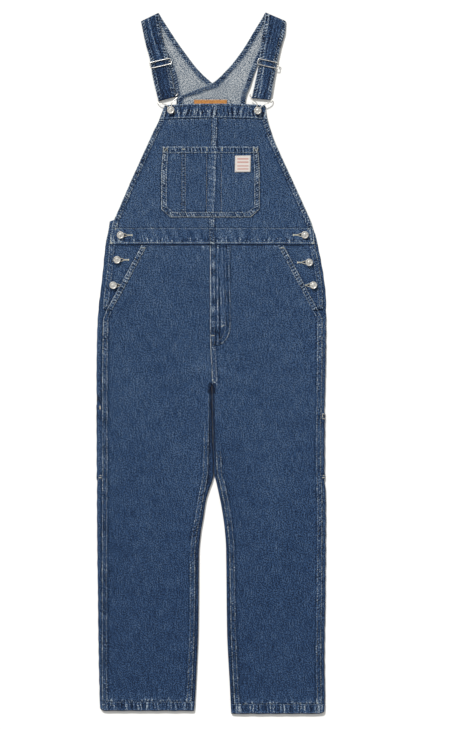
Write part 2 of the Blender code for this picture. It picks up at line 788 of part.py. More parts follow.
def build_back_waistband():
    rows = []
    for y, right in (*BACK_CORNER, Corner(WAIST_SEAM, outer_x(RIGHT, WAIST_SEAM))):
        left = outer_x(LEFT, y)
        rows.append([(x, y, 0.0) for x in spread(right, left, 4) + [left]])
    laid_sheet("waistband_back", rows, WAIST_WALL, DENIM)


# Bib


def band_sag(x):
    """How far the bib's top edge dips towards its corners."""
    return -BAND_SAG * ((x - BAND_MIDDLE) / BAND_HALF) ** 2


def build_bib(side, name):
    rows = []
    for y in stations(BAND_FOOT - SEAM_GAP, WAIST_TOP, BIB_STEP):
        start = centre_x(y) + side * SEAM_GAP / 2
        end = edge_x(side, y) - side * (SEAM_WIDTH + SEAM_GAP)
        top_share = ramp(y, SAG_START, BAND_FOOT)
        row = []
        for x in panel_columns(start, end, 5, side == LEFT):
            lap = ridge(x - centre_x(y)) if side == LEFT else 0.0
            row.append((x, y + band_sag(x) * top_share, front_height(x, y) + lap))
        rows.append(row)
    laid_sheet(f"bib_{name}", rows, WALL, DENIM)


def build_bib_edge(side, name):
    rows = []
    for y in stations(BAND_FOOT - SEAM_GAP, WAIST_TOP, BIB_STEP):
        edge = edge_x(side, y)
        end = edge - side * SEAM_WIDTH
        top_share = ramp(y, SAG_START, BAND_FOOT)
        columns = spread(edge, end, 2) + [end]
        rows.append([(x, y + band_sag(x) * top_share, front_height(x, y)) for x in columns])
    laid_sheet(f"bib_edge_{name}", rows, HEM_WALL, DENIM)


def build_bib_band():
    rows = []
    for share in BAND_SHARES:
        y = BAND_FOOT + (BIB_TOP - BAND_FOOT) * share
        right, left = edge_x(RIGHT, y), edge_x(LEFT, y)
        columns = spread(right, left, 14) + [left]
        rows.append([(x, y + band_sag(x), front_height(x, y)) for x in columns])
    laid_sheet("bib_band", rows, HEM_WALL, DENIM)


def pocket_sides(y):
    taper = POCKET_TAPER * ramp(y, TAPER_FOOT, POCKET_TOP)
    corner = POCKET_CORNER_X * max(POCKET_FOOT + POCKET_CORNER_Y - y, 0.0) / POCKET_CORNER_Y
    return POCKET_RIGHT + taper + corner, POCKET_LEFT - taper - corner


def pocket_row(y, height):
    right, left = pocket_sides(y)
    start = centre_x(y)
    steps = (-SEAM_SLOPE, -SEAM_SLOPE / 3, SEAM_WIDTH, SEAM_WIDTH + SEAM_SLOPE)
    over_seam = [start + step for step in steps]
    columns = spread(right, over_seam[0], 5) + over_seam[:-1]
    columns += spread(over_seam[-1], left, 5) + [left]
    return [(x, y, height(x, y)) for x in columns]


def build_bib_pocket():
    hem_foot = POCKET_TOP - POCKET_HEM

    def under(x, y):
        return bib_top_height(x, y) + GAP

    corner_top = POCKET_FOOT + POCKET_CORNER_Y
    places = stations(hem_foot - SEAM_GAP, POCKET_FOOT, POCKET_STEP, (corner_top,))
    laid_sheet("bib_pocket", [pocket_row(y, under) for y in places], WALL, DENIM)
    hem = [pocket_row(y, under) for y in (POCKET_TOP, hem_foot)]
    laid_sheet("bib_pocket_hem", hem, WAIST_WALL, DENIM)


def build_front_label():
    rows = []
    for y in spread(LABEL_Y[1], LABEL_Y[0], 3) + [LABEL_Y[0]]:
        columns = spread(LABEL_X[0], LABEL_X[1], 3) + [LABEL_X[1]]
        rows.append([(x, y, pocket_top_height(x, y) + GAP) for x in columns])
    laid_sheet("front_label", rows, TRIM_WALL, WHITE)


# Back above the waist


def build_upper_back():
    rows = []
    for y in stations(UPPER_BACK_ROWS[0].y, UPPER_BACK_ROWS[-1].y, UPPER_BACK_STEP):
        right = smooth(UPPER_BACK_ROWS, "right", y)
        left = smooth(UPPER_BACK_ROWS, "left", y)
        rows.append([(x, y, 0.0) for x in spread(right, left, 4) + [left]])
    laid_sheet("upper_back", rows, WING_WALL, DENIM_INSIDE)


Place = namedtuple("Place", "part value")


def along_rows(rows, part, column):
    """The column's value this share of the way through the rows, on a smooth curve."""
    places = [
        Place(i / (len(rows) - 1), getattr(row, column)) for i, row in enumerate(rows)
    ]
    return smooth(places, "value", part, "part")


def build_wing(side, name):
    rows = []
    for i in range(WING_STEPS + 1):
        part = i / WING_STEPS
        neck_x, neck_y, arm_x, arm_y, height = (
            along_rows(WING_ROWS[side], part, column) for column in Wing._fields
        )
        if i == 0:
            neck_x, neck_y = strap_point(side, STRAP_TAIL + SEAM_GAP, 0.0)
            arm_x, arm_y = strap_point(side, STRAP_TAIL + SEAM_GAP, 1.0)
        width = ((arm_x - neck_x) ** 2 + (arm_y - neck_y) ** 2) ** 0.5
        hem = TURNED_WIDTH / width
        slope = (TURNED_WIDTH + SEAM_SLOPE) / width
        row = []
        for share in (0.0, hem, slope, 0.5, 1 - slope, 1 - hem, 1.0):
            x = neck_x + (arm_x - neck_x) * share
            y = neck_y + (arm_y - neck_y) * share
            rise = TURNED_RISE if share <= hem or share >= 1 - hem else 0.0
            row.append((x, y, height + rise))
        rows.append(row)
    laid_sheet(f"back_wing_{name}", rows, WING_WALL, DENIM_INSIDE)


def rounded_row(y, span, top, corner):
    """The ends of a patch at y, with its two top corners rounded."""
    drop = min(max(y - (top - corner), 0.0), corner)
    inset = corner - (corner**2 - drop**2) ** 0.5
    return span[0] + inset, span[1] - inset


def build_neck_patches():
    low, high = PATCH_Y
    rows = []
    for y in (*(high - drop for drop in PATCH_DROPS), low):
        start, end = rounded_row(y, PATCH_X, high, PATCH_CORNER)
        columns = spread(start, end, 4) + [end]
        rows.append([(x, y, WING_TOP + GAP) for x in columns])
    laid_sheet("neck_patch", rows, TRIM_WALL, DENIM)
    rows = []
    for y in (TAN_Y[1], TAN_Y[0]):
        columns = spread(TAN_X[0], TAN_X[1], 4) + [TAN_X[1]]
        rows.append([(x, y, WING_TOP + GAP + TRIM_WALL + GAP) for x in columns])
    laid_sheet("neck_label", rows, TRIM_WALL, TAN)


# Straps and their hardware


def strap_point(side, down, share):
    """Where a strap is, this far down from its shoulder fold and this share of its width out."""
    part = down / STRAP_LENGTH
    neck_x, neck_y, arm_x, arm_y = (
        smooth(STRAP_ROWS[side], column, part, "part") for column in Strap._fields[1:]
    )
    return neck_x + (arm_x - neck_x) * share, neck_y + (arm_y - neck_y) * share


def build_strap(side, name):
    rows = []
    for turn in STRAP_TURNS:
        row = []
        for share in STRAP_COLUMNS:
            x, y = strap_point(side, turn.down, share)
            row.append((x, y, turn.height))
        rows.append(row)
    folded_sheet(f"strap_{name}", rows, STRAP_WALL, DENIM, side)


def placed(route, middle, degrees):
    """Points given as (across, down, height) about a middle, turned to lie along a strap."""
    angle = degrees * pi / 180
    return [
        (
            middle[0] + across * cos(angle) + down * sin(angle),
            middle[1] + across * sin(angle) - down * cos(angle),
            height,
        )
        for across, down, height in route
    ]


def build_slider(side, name):
    half, depth = SLIDER_HALF - SLIDER_BEND, SLIDER_DEPTH
    over, under = SLIDER_OVER, SLIDER_UNDER
    route = [
        (-SLIDER_HALF, 0.0, under + 1.6),
        (-half, 0.0, under),
        (half, 0.0, under),
        (half + 1.9, 0.0, under + 1.3),
        (half + 2.3, 1.0, over - 1.6),
        (half + 2.0, 3.4, over - 0.3),
        (half + 1.6, depth - 1.6, over),
        (half, depth, over),
        (-half, depth, over),
        (-SLIDER_HALF, depth - SLIDER_BEND, over),
        (-SLIDER_HALF, SLIDER_BEND - depth, over),
        (-half, -depth, over),
        (half, -depth, over),
        (half + 1.6, 1.6 - depth, over),
        (half + 2.0, -3.0, over),
    ]
    wire(f"slider_{name}", placed(route, SLIDER_MIDDLE[side], SLIDER_DEGREES[side]))


def bib_band_top(x, y):
    return front_height(x, y) + HEM_WALL


def build_buckle(side, name):
    start = strap_point(side, STRAP_LENGTH, 0.5)
    button = BIB_BUTTONS[side]
    angle = atan2(button[0] - start[0], start[1] - button[1]) * 180 / pi
    reach = ((button[0] - start[0]) ** 2 + (button[1] - start[1]) ** 2) ** 0.5
    over = seat_height(bib_band_top, button, BUCKLE_CLEAR) + CHORD + GAP + WIRE / 2
    higher = strap_point(side, STRAP_LENGTH - STRAP_AIM, 0.5)
    points = []
    for across, down, share in BUCKLE_ROUTE:
        height = BUCKLE_BAR + (over - BUCKLE_BAR) * share
        below = max(down, 0.0)
        in_strap = strap_point(side, STRAP_LENGTH + down - below, 0.5 + across / 2 / STRAP_HALF)
        by_strap = [
            in_strap[0] + (start[0] - higher[0]) / STRAP_AIM * below,
            in_strap[1] + (start[1] - higher[1]) / STRAP_AIM * below,
            height,
        ]
        spot = (across * side, below * reach / BUCKLE_REACH, height)
        by_button = placed([spot], start, angle)[0]
        turn = ramp(down, 0.0, BUCKLE_TURN)
        points.append(tuple(s + (b - s) * turn for s, b in zip(by_strap, by_button)))
    wire(f"buckle_{name}", points)


def seat_height(face, place, radius):
    """The highest that the face comes under a round foot of that radius."""
    around = [(place[0], place[1])]
    for i in range(SEAT_POINTS):
        angle = 2 * pi * i / SEAT_POINTS
        around.append((place[0] + radius * cos(angle), place[1] + radius * sin(angle)))
    return max(face(x, y) for x, y in around)


def build_button(name, place, surface_height, shank):
    top = shank + BUTTON_HEAD
    profile = (
        (0.0, top - 0.7),
        (BUTTON_DISH - 1.0, top - 0.7),
        (BUTTON_DISH, top),
        (BUTTON_RADIUS - 1.0, top - 0.2),
        (BUTTON_RADIUS, top - 1.2),
        (BUTTON_RADIUS - 0.6, shank + 0.3),
        (BUTTON_SHANK, shank),
        (BUTTON_SHANK, 0.7),
        (BUTTON_FOOT, 0.5),
        (BUTTON_FOOT, 0.0),
        (0.0, 0.0),
    )
    turned(name, profile, (place[0], place[1], surface_height + GAP), NICKEL)


def build_buttons(side, name):
    place = BIB_BUTTONS[side]
    seat = seat_height(bib_band_top, place, BUTTON_FOOT) + CHORD
    build_button(f"bib_button_{name}", place, seat, BIB_SHANK_HEIGHT)
    band, upper, lower = SIDE_BUTTONS[side]
    seat = seat_height(front_height, band, BUTTON_FOOT) + WAIST_WALL + CHORD
    build_button(f"waist_button_{name}", band, seat, SIDE_SHANK_HEIGHT)
    for place, label in ((upper, "upper"), (lower, "lower")):
        seat = seat_height(front_height, place, BUTTON_FOOT) + WALL + SEAM_RISE
        build_button(f"side_button_{label}_{name}", place, seat, SIDE_SHANK_HEIGHT)


# Utility trim


def build_side_trim(side):
    """A strip over the leg's side fold, from its felled seam round to just above the surface."""
    top, foot = TRIM_SPANS[side]
    rows = []
    for y in stations(top, foot, TRIM_STEP):
        edge, seam = outer_x(side, y), edge_x(side, y) + side * SEAM_GAP
        folded = turned_edge(y, edge, seam, 1.0)
        middle = (folded[0][2] + folded[-1][2]) / 2
        row = []
        for x, _, z in folded[: FOLD_POINTS - 1]:
            out_x, out_z = x - (edge - side * FOLD_RADIUS), z - middle
            length = max((out_x**2 + out_z**2) ** 0.5, 0.1)
            row.append((x + out_x / length * GAP, y, z + out_z / length * GAP))
        rows.append(row)
    folded_sheet(TRIM_NAMES[side], rows, TRIM_WALL, DENIM, -side)


for old in list(bpy.data.objects):
    bpy.data.objects.remove(old)
GARMENT = collection_for("dungarees")

for each, word in SIDES:
    build_leg_back(each, word)
    build_leg_front(each, word)
    build_hem(each, word)
    build_pocket_bearer(each, word)
    build_pocket_edge(each, word)
    build_waistband(each, word)
    build_bib(each, word)
    build_bib_edge(each, word)
    build_wing(each, word)
    build_strap(each, word)
    build_slider(each, word)
    build_buckle(each, word)
    build_buttons(each, word)
    build_side_trim(each)
build_fly()
build_back_waistband()
build_bib_band()
build_bib_pocket()
build_front_label()
build_upper_back()
build_neck_patches()
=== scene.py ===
"""Denim dungarees laid flat, front up: the cloth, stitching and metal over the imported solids.

Sizes are in millimetres. "Right" and "left" are the wearer's: right is towards -X. +Y runs from the
hems to the shoulders, and +Z is up out of the garment's front.
"""

from collections import namedtuple
from math import atan2, cos, pi, radians, sin

import bmesh
import bpy
import numpy as np
from mathutils import Matrix, Vector
from mathutils.bvhtree import BVHTree


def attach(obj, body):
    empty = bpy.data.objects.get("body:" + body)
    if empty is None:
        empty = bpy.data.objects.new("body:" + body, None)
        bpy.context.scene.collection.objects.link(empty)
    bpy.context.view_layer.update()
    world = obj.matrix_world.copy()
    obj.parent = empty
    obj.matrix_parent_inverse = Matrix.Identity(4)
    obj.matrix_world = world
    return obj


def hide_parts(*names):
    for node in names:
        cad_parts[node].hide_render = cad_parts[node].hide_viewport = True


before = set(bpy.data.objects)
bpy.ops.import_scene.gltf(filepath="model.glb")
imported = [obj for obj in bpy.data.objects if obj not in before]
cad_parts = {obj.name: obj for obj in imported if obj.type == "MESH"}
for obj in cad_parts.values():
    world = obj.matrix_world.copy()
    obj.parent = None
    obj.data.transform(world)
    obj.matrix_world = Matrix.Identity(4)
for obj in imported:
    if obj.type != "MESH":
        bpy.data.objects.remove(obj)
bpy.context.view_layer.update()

MM = 0.001
RIGHT, LEFT = -1, 1
SIDES = ((RIGHT, "right"), (LEFT, "left"))


# Camera
# Straight down with a long lens. The view is VIEW_HIGH pixels high, each of them PIXEL on the
# garment, and its middle lies a little towards the wearer's left.

PIXEL, VIEW_HIGH = 2.34, 730
VIEW_MIDDLE = (49.1, -3.5)
LENS, SENSOR = 120.0, 36.0

camera_data = bpy.data.cameras.new("camera")
camera_data.lens, camera_data.sensor_width = LENS, SENSOR
camera = bpy.data.objects.new("camera", camera_data)
camera.location = [value * MM for value in (*VIEW_MIDDLE, VIEW_HIGH * PIXEL * LENS / SENSOR)]
bpy.context.scene.collection.objects.link(camera)
bpy.context.scene.camera = camera


# Leg backs
# Two long panels of washed denim, which lie on the surface and fold round each leg's sides to the
# front, where they are sewn into the felled seams.

WALL = 1.2  # one layer of denim
GAP = 0.3  # between a piece and what lies on it
SEAM_GAP = 0.4  # between pieces that meet at a seam
SEAM_WIDTH, SEAM_RISE = 12.0, 0.9
ROPE = 8.5  # from one pucker of a sewn edge to the next

# How round the back turns at a fold, the most of its strip that is round, and the step between
# its points where it lies open
FOLD_RADIUS, FOLD_SHARE, FLAT_STEP = 4.5, 0.62, 1.0

WAIST_TOP, WAIST_SEAM = 317.0, 277.0
SLANT_FOOT, SIDE_SEAM_TOP = 124.0, 102.0
SIDE_OPEN, SIDE_CLOSED = 132.0, 100.0
CROTCH, CROTCH_END = -46.0, -62.0
HEM_TOP = {RIGHT: -790.0, LEFT: -796.0}
BACK_SEAM_X = 1.2
EDGE_REACH = 28.0  # how far in from its sides the front slopes


def table(columns, rows):
    """The rows, with a name for each of their columns."""
    named = namedtuple("Row", columns)
    return [named(*row) for row in rows]


# The front's outline, and the back's where it shows outside the front
SIDE_ROWS = {
    RIGHT: table("y outer edge", (
        (608, -109.3, -109.3), (572, -123.3, -123.3), (498, -156.2, -156.2), (424, -189.7, -189.7),
        (349, -221.9, -221.9), (329, -230.5, -230.5), (306, -242.0, -235.5), (277, -248.0, -239.0),
        (242, -251.6, -241.5), (195, -256.2, -246.5), (149, -261.9, -252.0), (102, -266.2, -253.3),
        (55, -267.9, -254.5), (-38, -269.0, -255.5), (-120, -267.7, -255.5), (-249, -267.2, -255.5),
        (-310, -268.0, -255.7), (-436, -267.2, -256.0), (-540, -265.7, -256.2), (-647, -264.5, -256.2),
        (-790, -261.5, -255.6), (-820, -260.2, -254.4),
    )),
    LEFT: table("y outer edge", (
        (608, 125.6, 125.6), (590, 127.5, 127.5), (572, 131.5, 131.5), (536, 141.6, 141.6),
        (498, 157.4, 157.4), (424, 191.2, 191.2), (349, 225.0, 225.0), (329, 233.4, 233.4),
        (306, 241.6, 238.6), (277, 248.3, 242.0), (242, 255.2, 249.5), (195, 263.0, 257.0),
        (149, 267.4, 260.5), (102, 267.6, 259.5), (20, 267.2, 259.3), (-60, 265.6, 258.2),
        (-132, 263.6, 257.0), (-249, 263.2, 256.6), (-320, 267.2, 259.3), (-530, 266.3, 258.6),
        (-694, 264.0, 256.5), (-790, 265.2, 257.8), (-820, 264.0, 256.8),
    )),
}

# Between the legs: the front panel's inseam and the fold of the back panel past it
INNER_ROWS = {
    RIGHT: table("y fold inseam", (
        (-40, 0.8, 0.8), (-46, 0.8, 0.6), (-62, 0.8, -4.5), (-165, 2.6, -6.0), (-261, 5.0, -9.0),
        (-273, 2.5, -10.5), (-296, -5.8, -15.0), (-320, -12.9, -19.5), (-359, -19.0, -26.0),
        (-399, -25.5, -33.5), (-446, -29.4, -37.8), (-549, -30.1, -38.4), (-625, -31.1, -39.6),
        (-700, -34.1, -42.4), (-790, -38.8, -46.5), (-820, -41.5, -49.0),
    )),
    LEFT: table("y fold inseam", (
        (-40, 1.6, 1.6), (-46, 1.6, 1.8), (-62, 1.6, 6.5), (-165, 3.6, 9.0), (-261, 6.2, 13.5),
        (-273, 9.8, 17.5), (-296, 15.2, 22.5), (-343, 24.6, 31.5), (-390, 31.0, 38.0),
        (-430, 33.9, 41.0), (-624, 36.3, 45.0), (-764, 43.3, 51.5), (-790, 44.5, 53.0),
        (-820, 46.0, 54.5),
    )),
}

# The line where the left front laps over the right front
CENTRE_ROWS = table("y x", (
    (608, 1.5), (420, -2.5), (317, -6.0), (277, -4.0), (60, -3.5), (-46, 1.2), (-70, 1.2),
))

# Underside of the front's cloth, in the middle, at the side and between the legs
HEIGHT_ROWS = table("y middle side inner", (
    (608, 6.2, 2.4, 6.2), (585, 6.2, 2.4, 6.2), (545, 4.4, 2.1, 4.4), (515, 2.8, 1.9, 2.8),
    (400, 2.6, 1.7, 2.6), (335, 2.9, 2.3, 2.9), (280, 2.9, 2.3, 2.9), (180, 2.7, 2.1, 2.7),
    (110, 2.8, 4.6, 2.8), (55, 2.8, 5.2, 2.8), (-46, 2.8, 5.2, 3.2), (-120, 2.7, 5.2, 4.4),
    (-261, 2.6, 5.0, 4.8), (-600, 2.6, 5.0, 4.8), (-790, 4.6, 5.0, 4.8), (-820, 5.2, 5.0, 4.8),
))

# Soft folds of the front: the middle of each, its direction, half length, half width and height.
# The first ten are the solids' own, and the rest are finer.
FOLD = "x y degrees length width height"
FOLDS = table(FOLD, (
    (-70, -20, 18, 70, 13, 1.3), (70, -35, -15, 75, 13, 1.2), (-95, -95, 32, 60, 15, 1.0),
    (98, -105, -30, 60, 15, 1.0), (-30, 235, 64, 38, 9, 1.0), (72, 215, -70, 45, 12, 0.9),
    (-150, -330, 86, 130, 24, 1.0), (152, -390, -87, 140, 24, 1.0), (-120, 455, 58, 60, 13, 0.9),
    (165, 420, -60, 60, 13, 0.9), (-45, -62, 40, 34, 6, 0.6), (48, -70, -42, 36, 6, 0.6),
    (-35, 25, 8, 26, 5, 0.4), (60, 18, -10, 24, 5, 0.4), (-205, 60, 70, 30, 6, 0.5),
    (206, 40, -72, 34, 6, 0.5), (-110, 250, -20, 30, 6, 0.5), (120, 252, 24, 34, 6, 0.5),
    (-92, -520, 75, 60, 11, 0.5), (180, -600, -80, 70, 11, 0.5), (-190, -690, 84, 50, 9, 0.5),
    (100, -720, -78, 46, 9, 0.5), (-60, 560, 88, 22, 5, 0.4), (75, 545, -84, 24, 5, 0.4),
    (150, 345, -35, 28, 6, 0.5), (-160, 350, 38, 28, 6, 0.5),
))

# How far the wash has faded the cloth, from 0, raw indigo, to 1, nearly white
WASH_ROWS = table("y tone", (
    (608, 0.37), (480, 0.37), (320, 0.38), (150, 0.34), (0, 0.33), (-200, 0.31), (-420, 0.27),
    (-820, 0.235),
))

# The dye at five stages of its fading: how faded, and its sRGB
INDIGO = (
    (0.0, 15, 24, 41), (0.22, 35, 50, 74), (0.45, 45, 75, 116), (0.72, 92, 115, 142),
    (1.0, 174, 184, 190),
)
LIGHT_ON_CLOTH = 1.18  # what the lights make of a white that lies flat


def smooth(rows, column, at, along="y"):
    """The column's value where `along` is `at`, on a curve through the rows that never overshoots."""
    rows = sorted(rows, key=lambda row: getattr(row, along))
    places = np.array([getattr(row, along) for row in rows], float)
    values = np.array([getattr(row, column) for row in rows], float)
    spans, at = np.diff(places), np.clip(at, places[0], places[-1])
    slopes = np.diff(values) / spans
    before, after = slopes[:-1], slopes[1:]
    steady = before * after > 0
    turning = np.where(steady, 2 * before * after / np.where(steady, before + after, 1), 0)
    tangents = np.concatenate([slopes[:1], turning, slopes[-1:]])
    last = np.clip(np.searchsorted(places, at, side="right") - 1, 0, len(spans) - 1)
    t, span = (at - places[last]) / spans[last], spans[last]
    return (
        values[last] * (1 + 2 * t) * (1 - t) ** 2
        + tangents[last] * span * t * (1 - t) ** 2
        + values[last + 1] * t * t * (3 - 2 * t)
        + tangents[last + 1] * span * t * t * (t - 1)
    )


def outer_x(side, y):
    return smooth(SIDE_ROWS[side], "outer", y)


def edge_x(side, y):
    return smooth(SIDE_ROWS[side], "edge", y)


def fold_x(side, y):
    return smooth(INNER_ROWS[side], "fold", y)


def inseam_x(side, y):
    return smooth(INNER_ROWS[side], "inseam", y)


def centre_x(y):
    return smooth(CENTRE_ROWS, "x", y)


def ramp(value, low, high):
    """0 at low, 1 at high, eased between them."""
    t = np.clip((value - low) / (high - low), 0.0, 1.0)
    return t * t * (3 - 2 * t)


def bell(value, middle, half):
    return np.exp(-(((value - middle) / half) ** 2))


def banded(value, start, full, ebb, end):
    """1 between full and ebb, eased away to 0 at start and end."""
    return ramp(value, start, full) * (1 - ramp(value, ebb, end))


def grooved(value, lines, half=0.9):
    """1 on each of the lines, where the stitches pull the cloth in."""
    return sum(bell(value, line, half) for line in lines)


def trail(past, reach):
    """1 up to a line, and dying away past it."""
    return np.exp(-np.maximum(past, 0) / reach)


def rolled(from_edge, reach):
    """How far a worn or turned edge rolls down: 1 at the edge, and 0 from that reach inwards."""
    return np.clip(1 - from_edge / reach, 0, 1) ** 2


RIPPLE_REACH = 1250  # ripples run this far to each side of the middle


def ripple(along, pitch, seed):
    """An uneven wave between -1 and 1, with about `pitch` from crest to crest."""
    chance = np.random.default_rng(seed)
    count = int(4 * RIPPLE_REACH / pitch)
    knots = -RIPPLE_REACH + pitch / 2 * (np.arange(count) + chance.uniform(-0.3, 0.3, count))
    crests = chance.uniform(0.2, 1.0, count) * np.where(np.arange(count) % 2, 1, -1)
    last = np.clip(np.searchsorted(knots, along) - 1, 0, count - 2)
    t = ramp((along - knots[last]) / (knots[last + 1] - knots[last]), 0, 1)
    return crests[last] * (1 - t) + crests[last + 1] * t


def cloudy(x, y, size, seed):
    """Soft patches between about -1 and 1, with about `size` from one to the next."""
    chance = np.random.default_rng(seed)
    total = 0.0
    for _ in range(7):
        angle, phase, stretch = chance.uniform(0, 2 * pi, 2).tolist() + [chance.uniform(0.7, 1.5)]
        total = total + np.sin((x * cos(angle) + y * sin(angle)) * 2 * pi / size / stretch + phase)
    return total / 3.5


def fold_rise(x, y, folds=FOLDS):
    total = 0.0
    for fold in folds:
        angle = radians(fold.degrees)
        along = (x - fold.x) * cos(angle) + (y - fold.y) * sin(angle)
        across = (y - fold.y) * cos(angle) - (x - fold.x) * sin(angle)
        total = total + fold.height * bell(along, 0, fold.length) * bell(across, 0, fold.width)
    return total


def front_height(x, y):
    """Height of the underside of the front's cloth."""
    middle = smooth(HEIGHT_ROWS, "middle", y)
    side_rise = smooth(HEIGHT_ROWS, "side", y) - middle
    inner_rise = smooth(HEIGHT_ROWS, "inner", y) - middle
    on_left = x > centre_x(y)
    from_side = np.where(on_left, outer_x(LEFT, y) - x, x - outer_x(RIGHT, y))
    from_inner = np.where(on_left, x - fold_x(LEFT, y), fold_x(RIGHT, y) - x)
    height = middle + side_rise * bell(np.maximum(from_side, 0), 0, EDGE_REACH)
    height = height + inner_rise * bell(np.maximum(from_inner, 0), 0, EDGE_REACH)
    return height + fold_rise(x, y)


def washed(x, y):
    """The cloth's own fading, away from any seam."""
    tone = smooth(WASH_ROWS, "tone", y) + 0.02 * cloudy(x, y, 150, 3) + 0.015 * cloudy(x, y, 40, 4)
    return tone + 0.03 * fold_rise(x, y)


PITS = 0.38  # how much darker the cloth is along the sunk stitch lines


def felled(inside, along, seed, width=SEAM_WIDTH, rise=SEAM_RISE, pitch=ROPE, fade=0.45, light=0.32):
    """(rise, fading and painted shade) of a sewn edge or felled seam, this far inside its edge.

    Its layers stand proud, both stitched lines sink in, and the thread draws it into ropes. Painted shade
    darkens the cloth just past its proud layers."""
    top = 1 - ramp(inside, width - 0.3, width + 1.5)
    rope = ripple(along + 0.5 * inside, pitch, seed)
    rope = np.sign(rope) * abs(rope) ** 0.7
    fine = ripple(along - 0.4 * inside, pitch * 0.55, seed + 500)
    patch = ripple(along, 62, seed + 900)
    wear = 0.75 + 0.25 * ripple(along, 23, seed + 950)
    near = (1 - top) * trail(inside - width, 8)
    grooves = grooved(inside, (2.0, width - 2.0), 0.8)
    relief = top * (rise + 0.24 * rope - 0.2 * grooves) + 0.24 * rope * near
    relief = relief - 0.8 * rolled(inside, 1.6)
    between = bell(inside, width / 2, width / 4)
    tone = top * (fade * rope * (0.45 + 0.75 * between) + 0.4 * fade * fine + 0.1 * patch)
    # Painted shade just past the seam's proud layers
    tone = tone + 0.3 * fade * rope * near - 0.2 * bell(inside, width + 2.2, 1.5) - PITS * grooves * top
    tone = tone + light * wear * (bell(inside, 0.8, 1.1) + 0.65 * bell(inside, width - 0.8, 1.2))
    return relief, tone


def srgb(red, green, blue):
    """The shader's own numbers for what looks that sRGB, from 0 to 255, under the lights."""
    shares = np.array([red, green, blue]) / 255
    linear = np.where(shares > 0.04045, ((shares + 0.055) / 1.055) ** 2.4, shares / 12.92)
    return (*(linear / LIGHT_ON_CLOTH).tolist(), 1.0)


def put(tree, kind, **settings):
    """A new node in the tree. A setting named in_N is the value of its input N, or a link to it."""
    node = tree.nodes.new(kind)
    for name, value in settings.items():
        if not name.startswith("in_"):
            setattr(node, name, value)
            continue
        socket = node.inputs[int(name[3:])]
        if isinstance(value, bpy.types.NodeSocket):
            tree.links.new(value, socket)
        else:
            socket.default_value = value
    return node


# Twill's own surface: slubs down the warp, flecks of bare weft along the twill, clouds of wash, the
# fine twill line, and specks where it is worn unevenly. Tone is how faded each place is, darkened
# where its input brings painted shade, and Height is for the bump.
twill = bpy.data.node_groups.new("twill", "ShaderNodeTree")
for socket_name, socket_type in (
    ("Cloth", "NodeSocketVector"),
    ("Wash and shade", "NodeSocketFloat"),
    ("Slub", "NodeSocketFloat"),
    ("Fleck", "NodeSocketFloat"),
    ("Line", "NodeSocketFloat"),
    ("Uneven", "NodeSocketFloat"),
):
    twill.interface.new_socket(socket_name, in_out="INPUT", socket_type=socket_type)
for socket_name in ("Tone", "Height"):
    twill.interface.new_socket(socket_name, in_out="OUTPUT", socket_type="NodeSocketFloat")
SLUB_SIZE = (1.5, 26.0)  # across and along the warp
FLECK_SIZE = (1.9, 2.3)
FLECK_DEPTH, FLECK_SPREAD = 2.0, 0.014  # the dark flecks are deeper than the pale ones are bright
SPECK_SIZE = 2.6
CLOUD_SIZE = 24.0
TWILL_LINE = (1000 / 0.95, 1000 / 1.5, 0.0)  # the twill climbs to the right
TWILL_LEAN, TWILL_DEEP = -32.0, 0.16


def reckon(tree, operation, *values):
    """The values through Math nodes of one kind, from the first to the last."""
    total = values[0]
    for value in values[1:]:
        total = put(tree, "ShaderNodeMath", operation=operation, in_0=total, in_1=value).outputs[0]
    return total


def times(tree, *values):
    return reckon(tree, "MULTIPLY", *values)


def plus(tree, *values):
    return reckon(tree, "ADD", *values)


def cloth_noise(tree, cloth, across, along, detail, degrees=0.0):
    """Noise stretched to that many millimetres across and along the warp, centred on 0."""
    turn, scale = (0.0, 0.0, radians(degrees)), (across * MM, along * MM, 1.0)
    laid = put(tree, "ShaderNodeMapping", vector_type="TEXTURE", in_0=cloth, in_2=turn, in_3=scale)
    noise = put(tree, "ShaderNodeTexNoise", noise_dimensions="2D", in_0=laid.outputs[0], in_2=1.0)
    noise.inputs[3].default_value = detail
    return reckon(tree, "SUBTRACT", noise.outputs[0], 0.5)


group_in, group_out = put(twill, "NodeGroupInput"), put(twill, "NodeGroupOutput")
cloth_uv, wash_and_shade_in, slub_in, fleck_in, line_in, uneven_in = group_in.outputs[:6]
slub = cloth_noise(twill, cloth_uv, *SLUB_SIZE, 2.0)
fleck = cloth_noise(twill, cloth_uv, *FLECK_SIZE, 0.0, TWILL_LEAN)
deep = times(twill, fleck, fleck, -FLECK_DEPTH)
fleck = plus(twill, fleck, deep, FLECK_DEPTH * FLECK_SPREAD)
speck = cloth_noise(twill, cloth_uv, SPECK_SIZE, SPECK_SIZE, 1.0)
cloud = cloth_noise(twill, cloth_uv, CLOUD_SIZE, CLOUD_SIZE, 3.0)
line_at = put(twill, "ShaderNodeVectorMath", operation="DOT_PRODUCT", in_0=cloth_uv, in_1=TWILL_LINE)
line = reckon(twill, "PINGPONG", line_at.outputs["Value"], 0.5)
line_tone = times(twill, plus(twill, line, -0.25), line_in)
woven_tone = plus(twill, times(twill, slub, slub_in), times(twill, fleck, fleck_in), line_tone)
twill_tone = plus(twill, wash_and_shade_in, woven_tone, times(twill, cloud, 0.12), times(twill, speck, uneven_in))
twill_height = plus(twill, times(twill, line, 1.2), times(twill, slub, 0.8), fleck)
twill.links.new(twill_tone, group_out.inputs[0])
twill.links.new(twill_height, group_out.inputs[1])


def finish(name, **shares):
    """A new material, its tree and its shader, with these shares set on the shader."""
    made = bpy.data.materials.new(name)
    made.use_nodes = True
    shader = made.node_tree.nodes["Principled BSDF"]
    for share, value in shares.items():
        shader.inputs[share.replace("_", " ")].default_value = value
    return made, made.node_tree, shader


def coordinate(tree, kind):
    return put(tree, "ShaderNodeTexCoord").outputs[kind]


def attribute(tree, name):
    return put(tree, "ShaderNodeAttribute", attribute_name=name).outputs["Fac"]


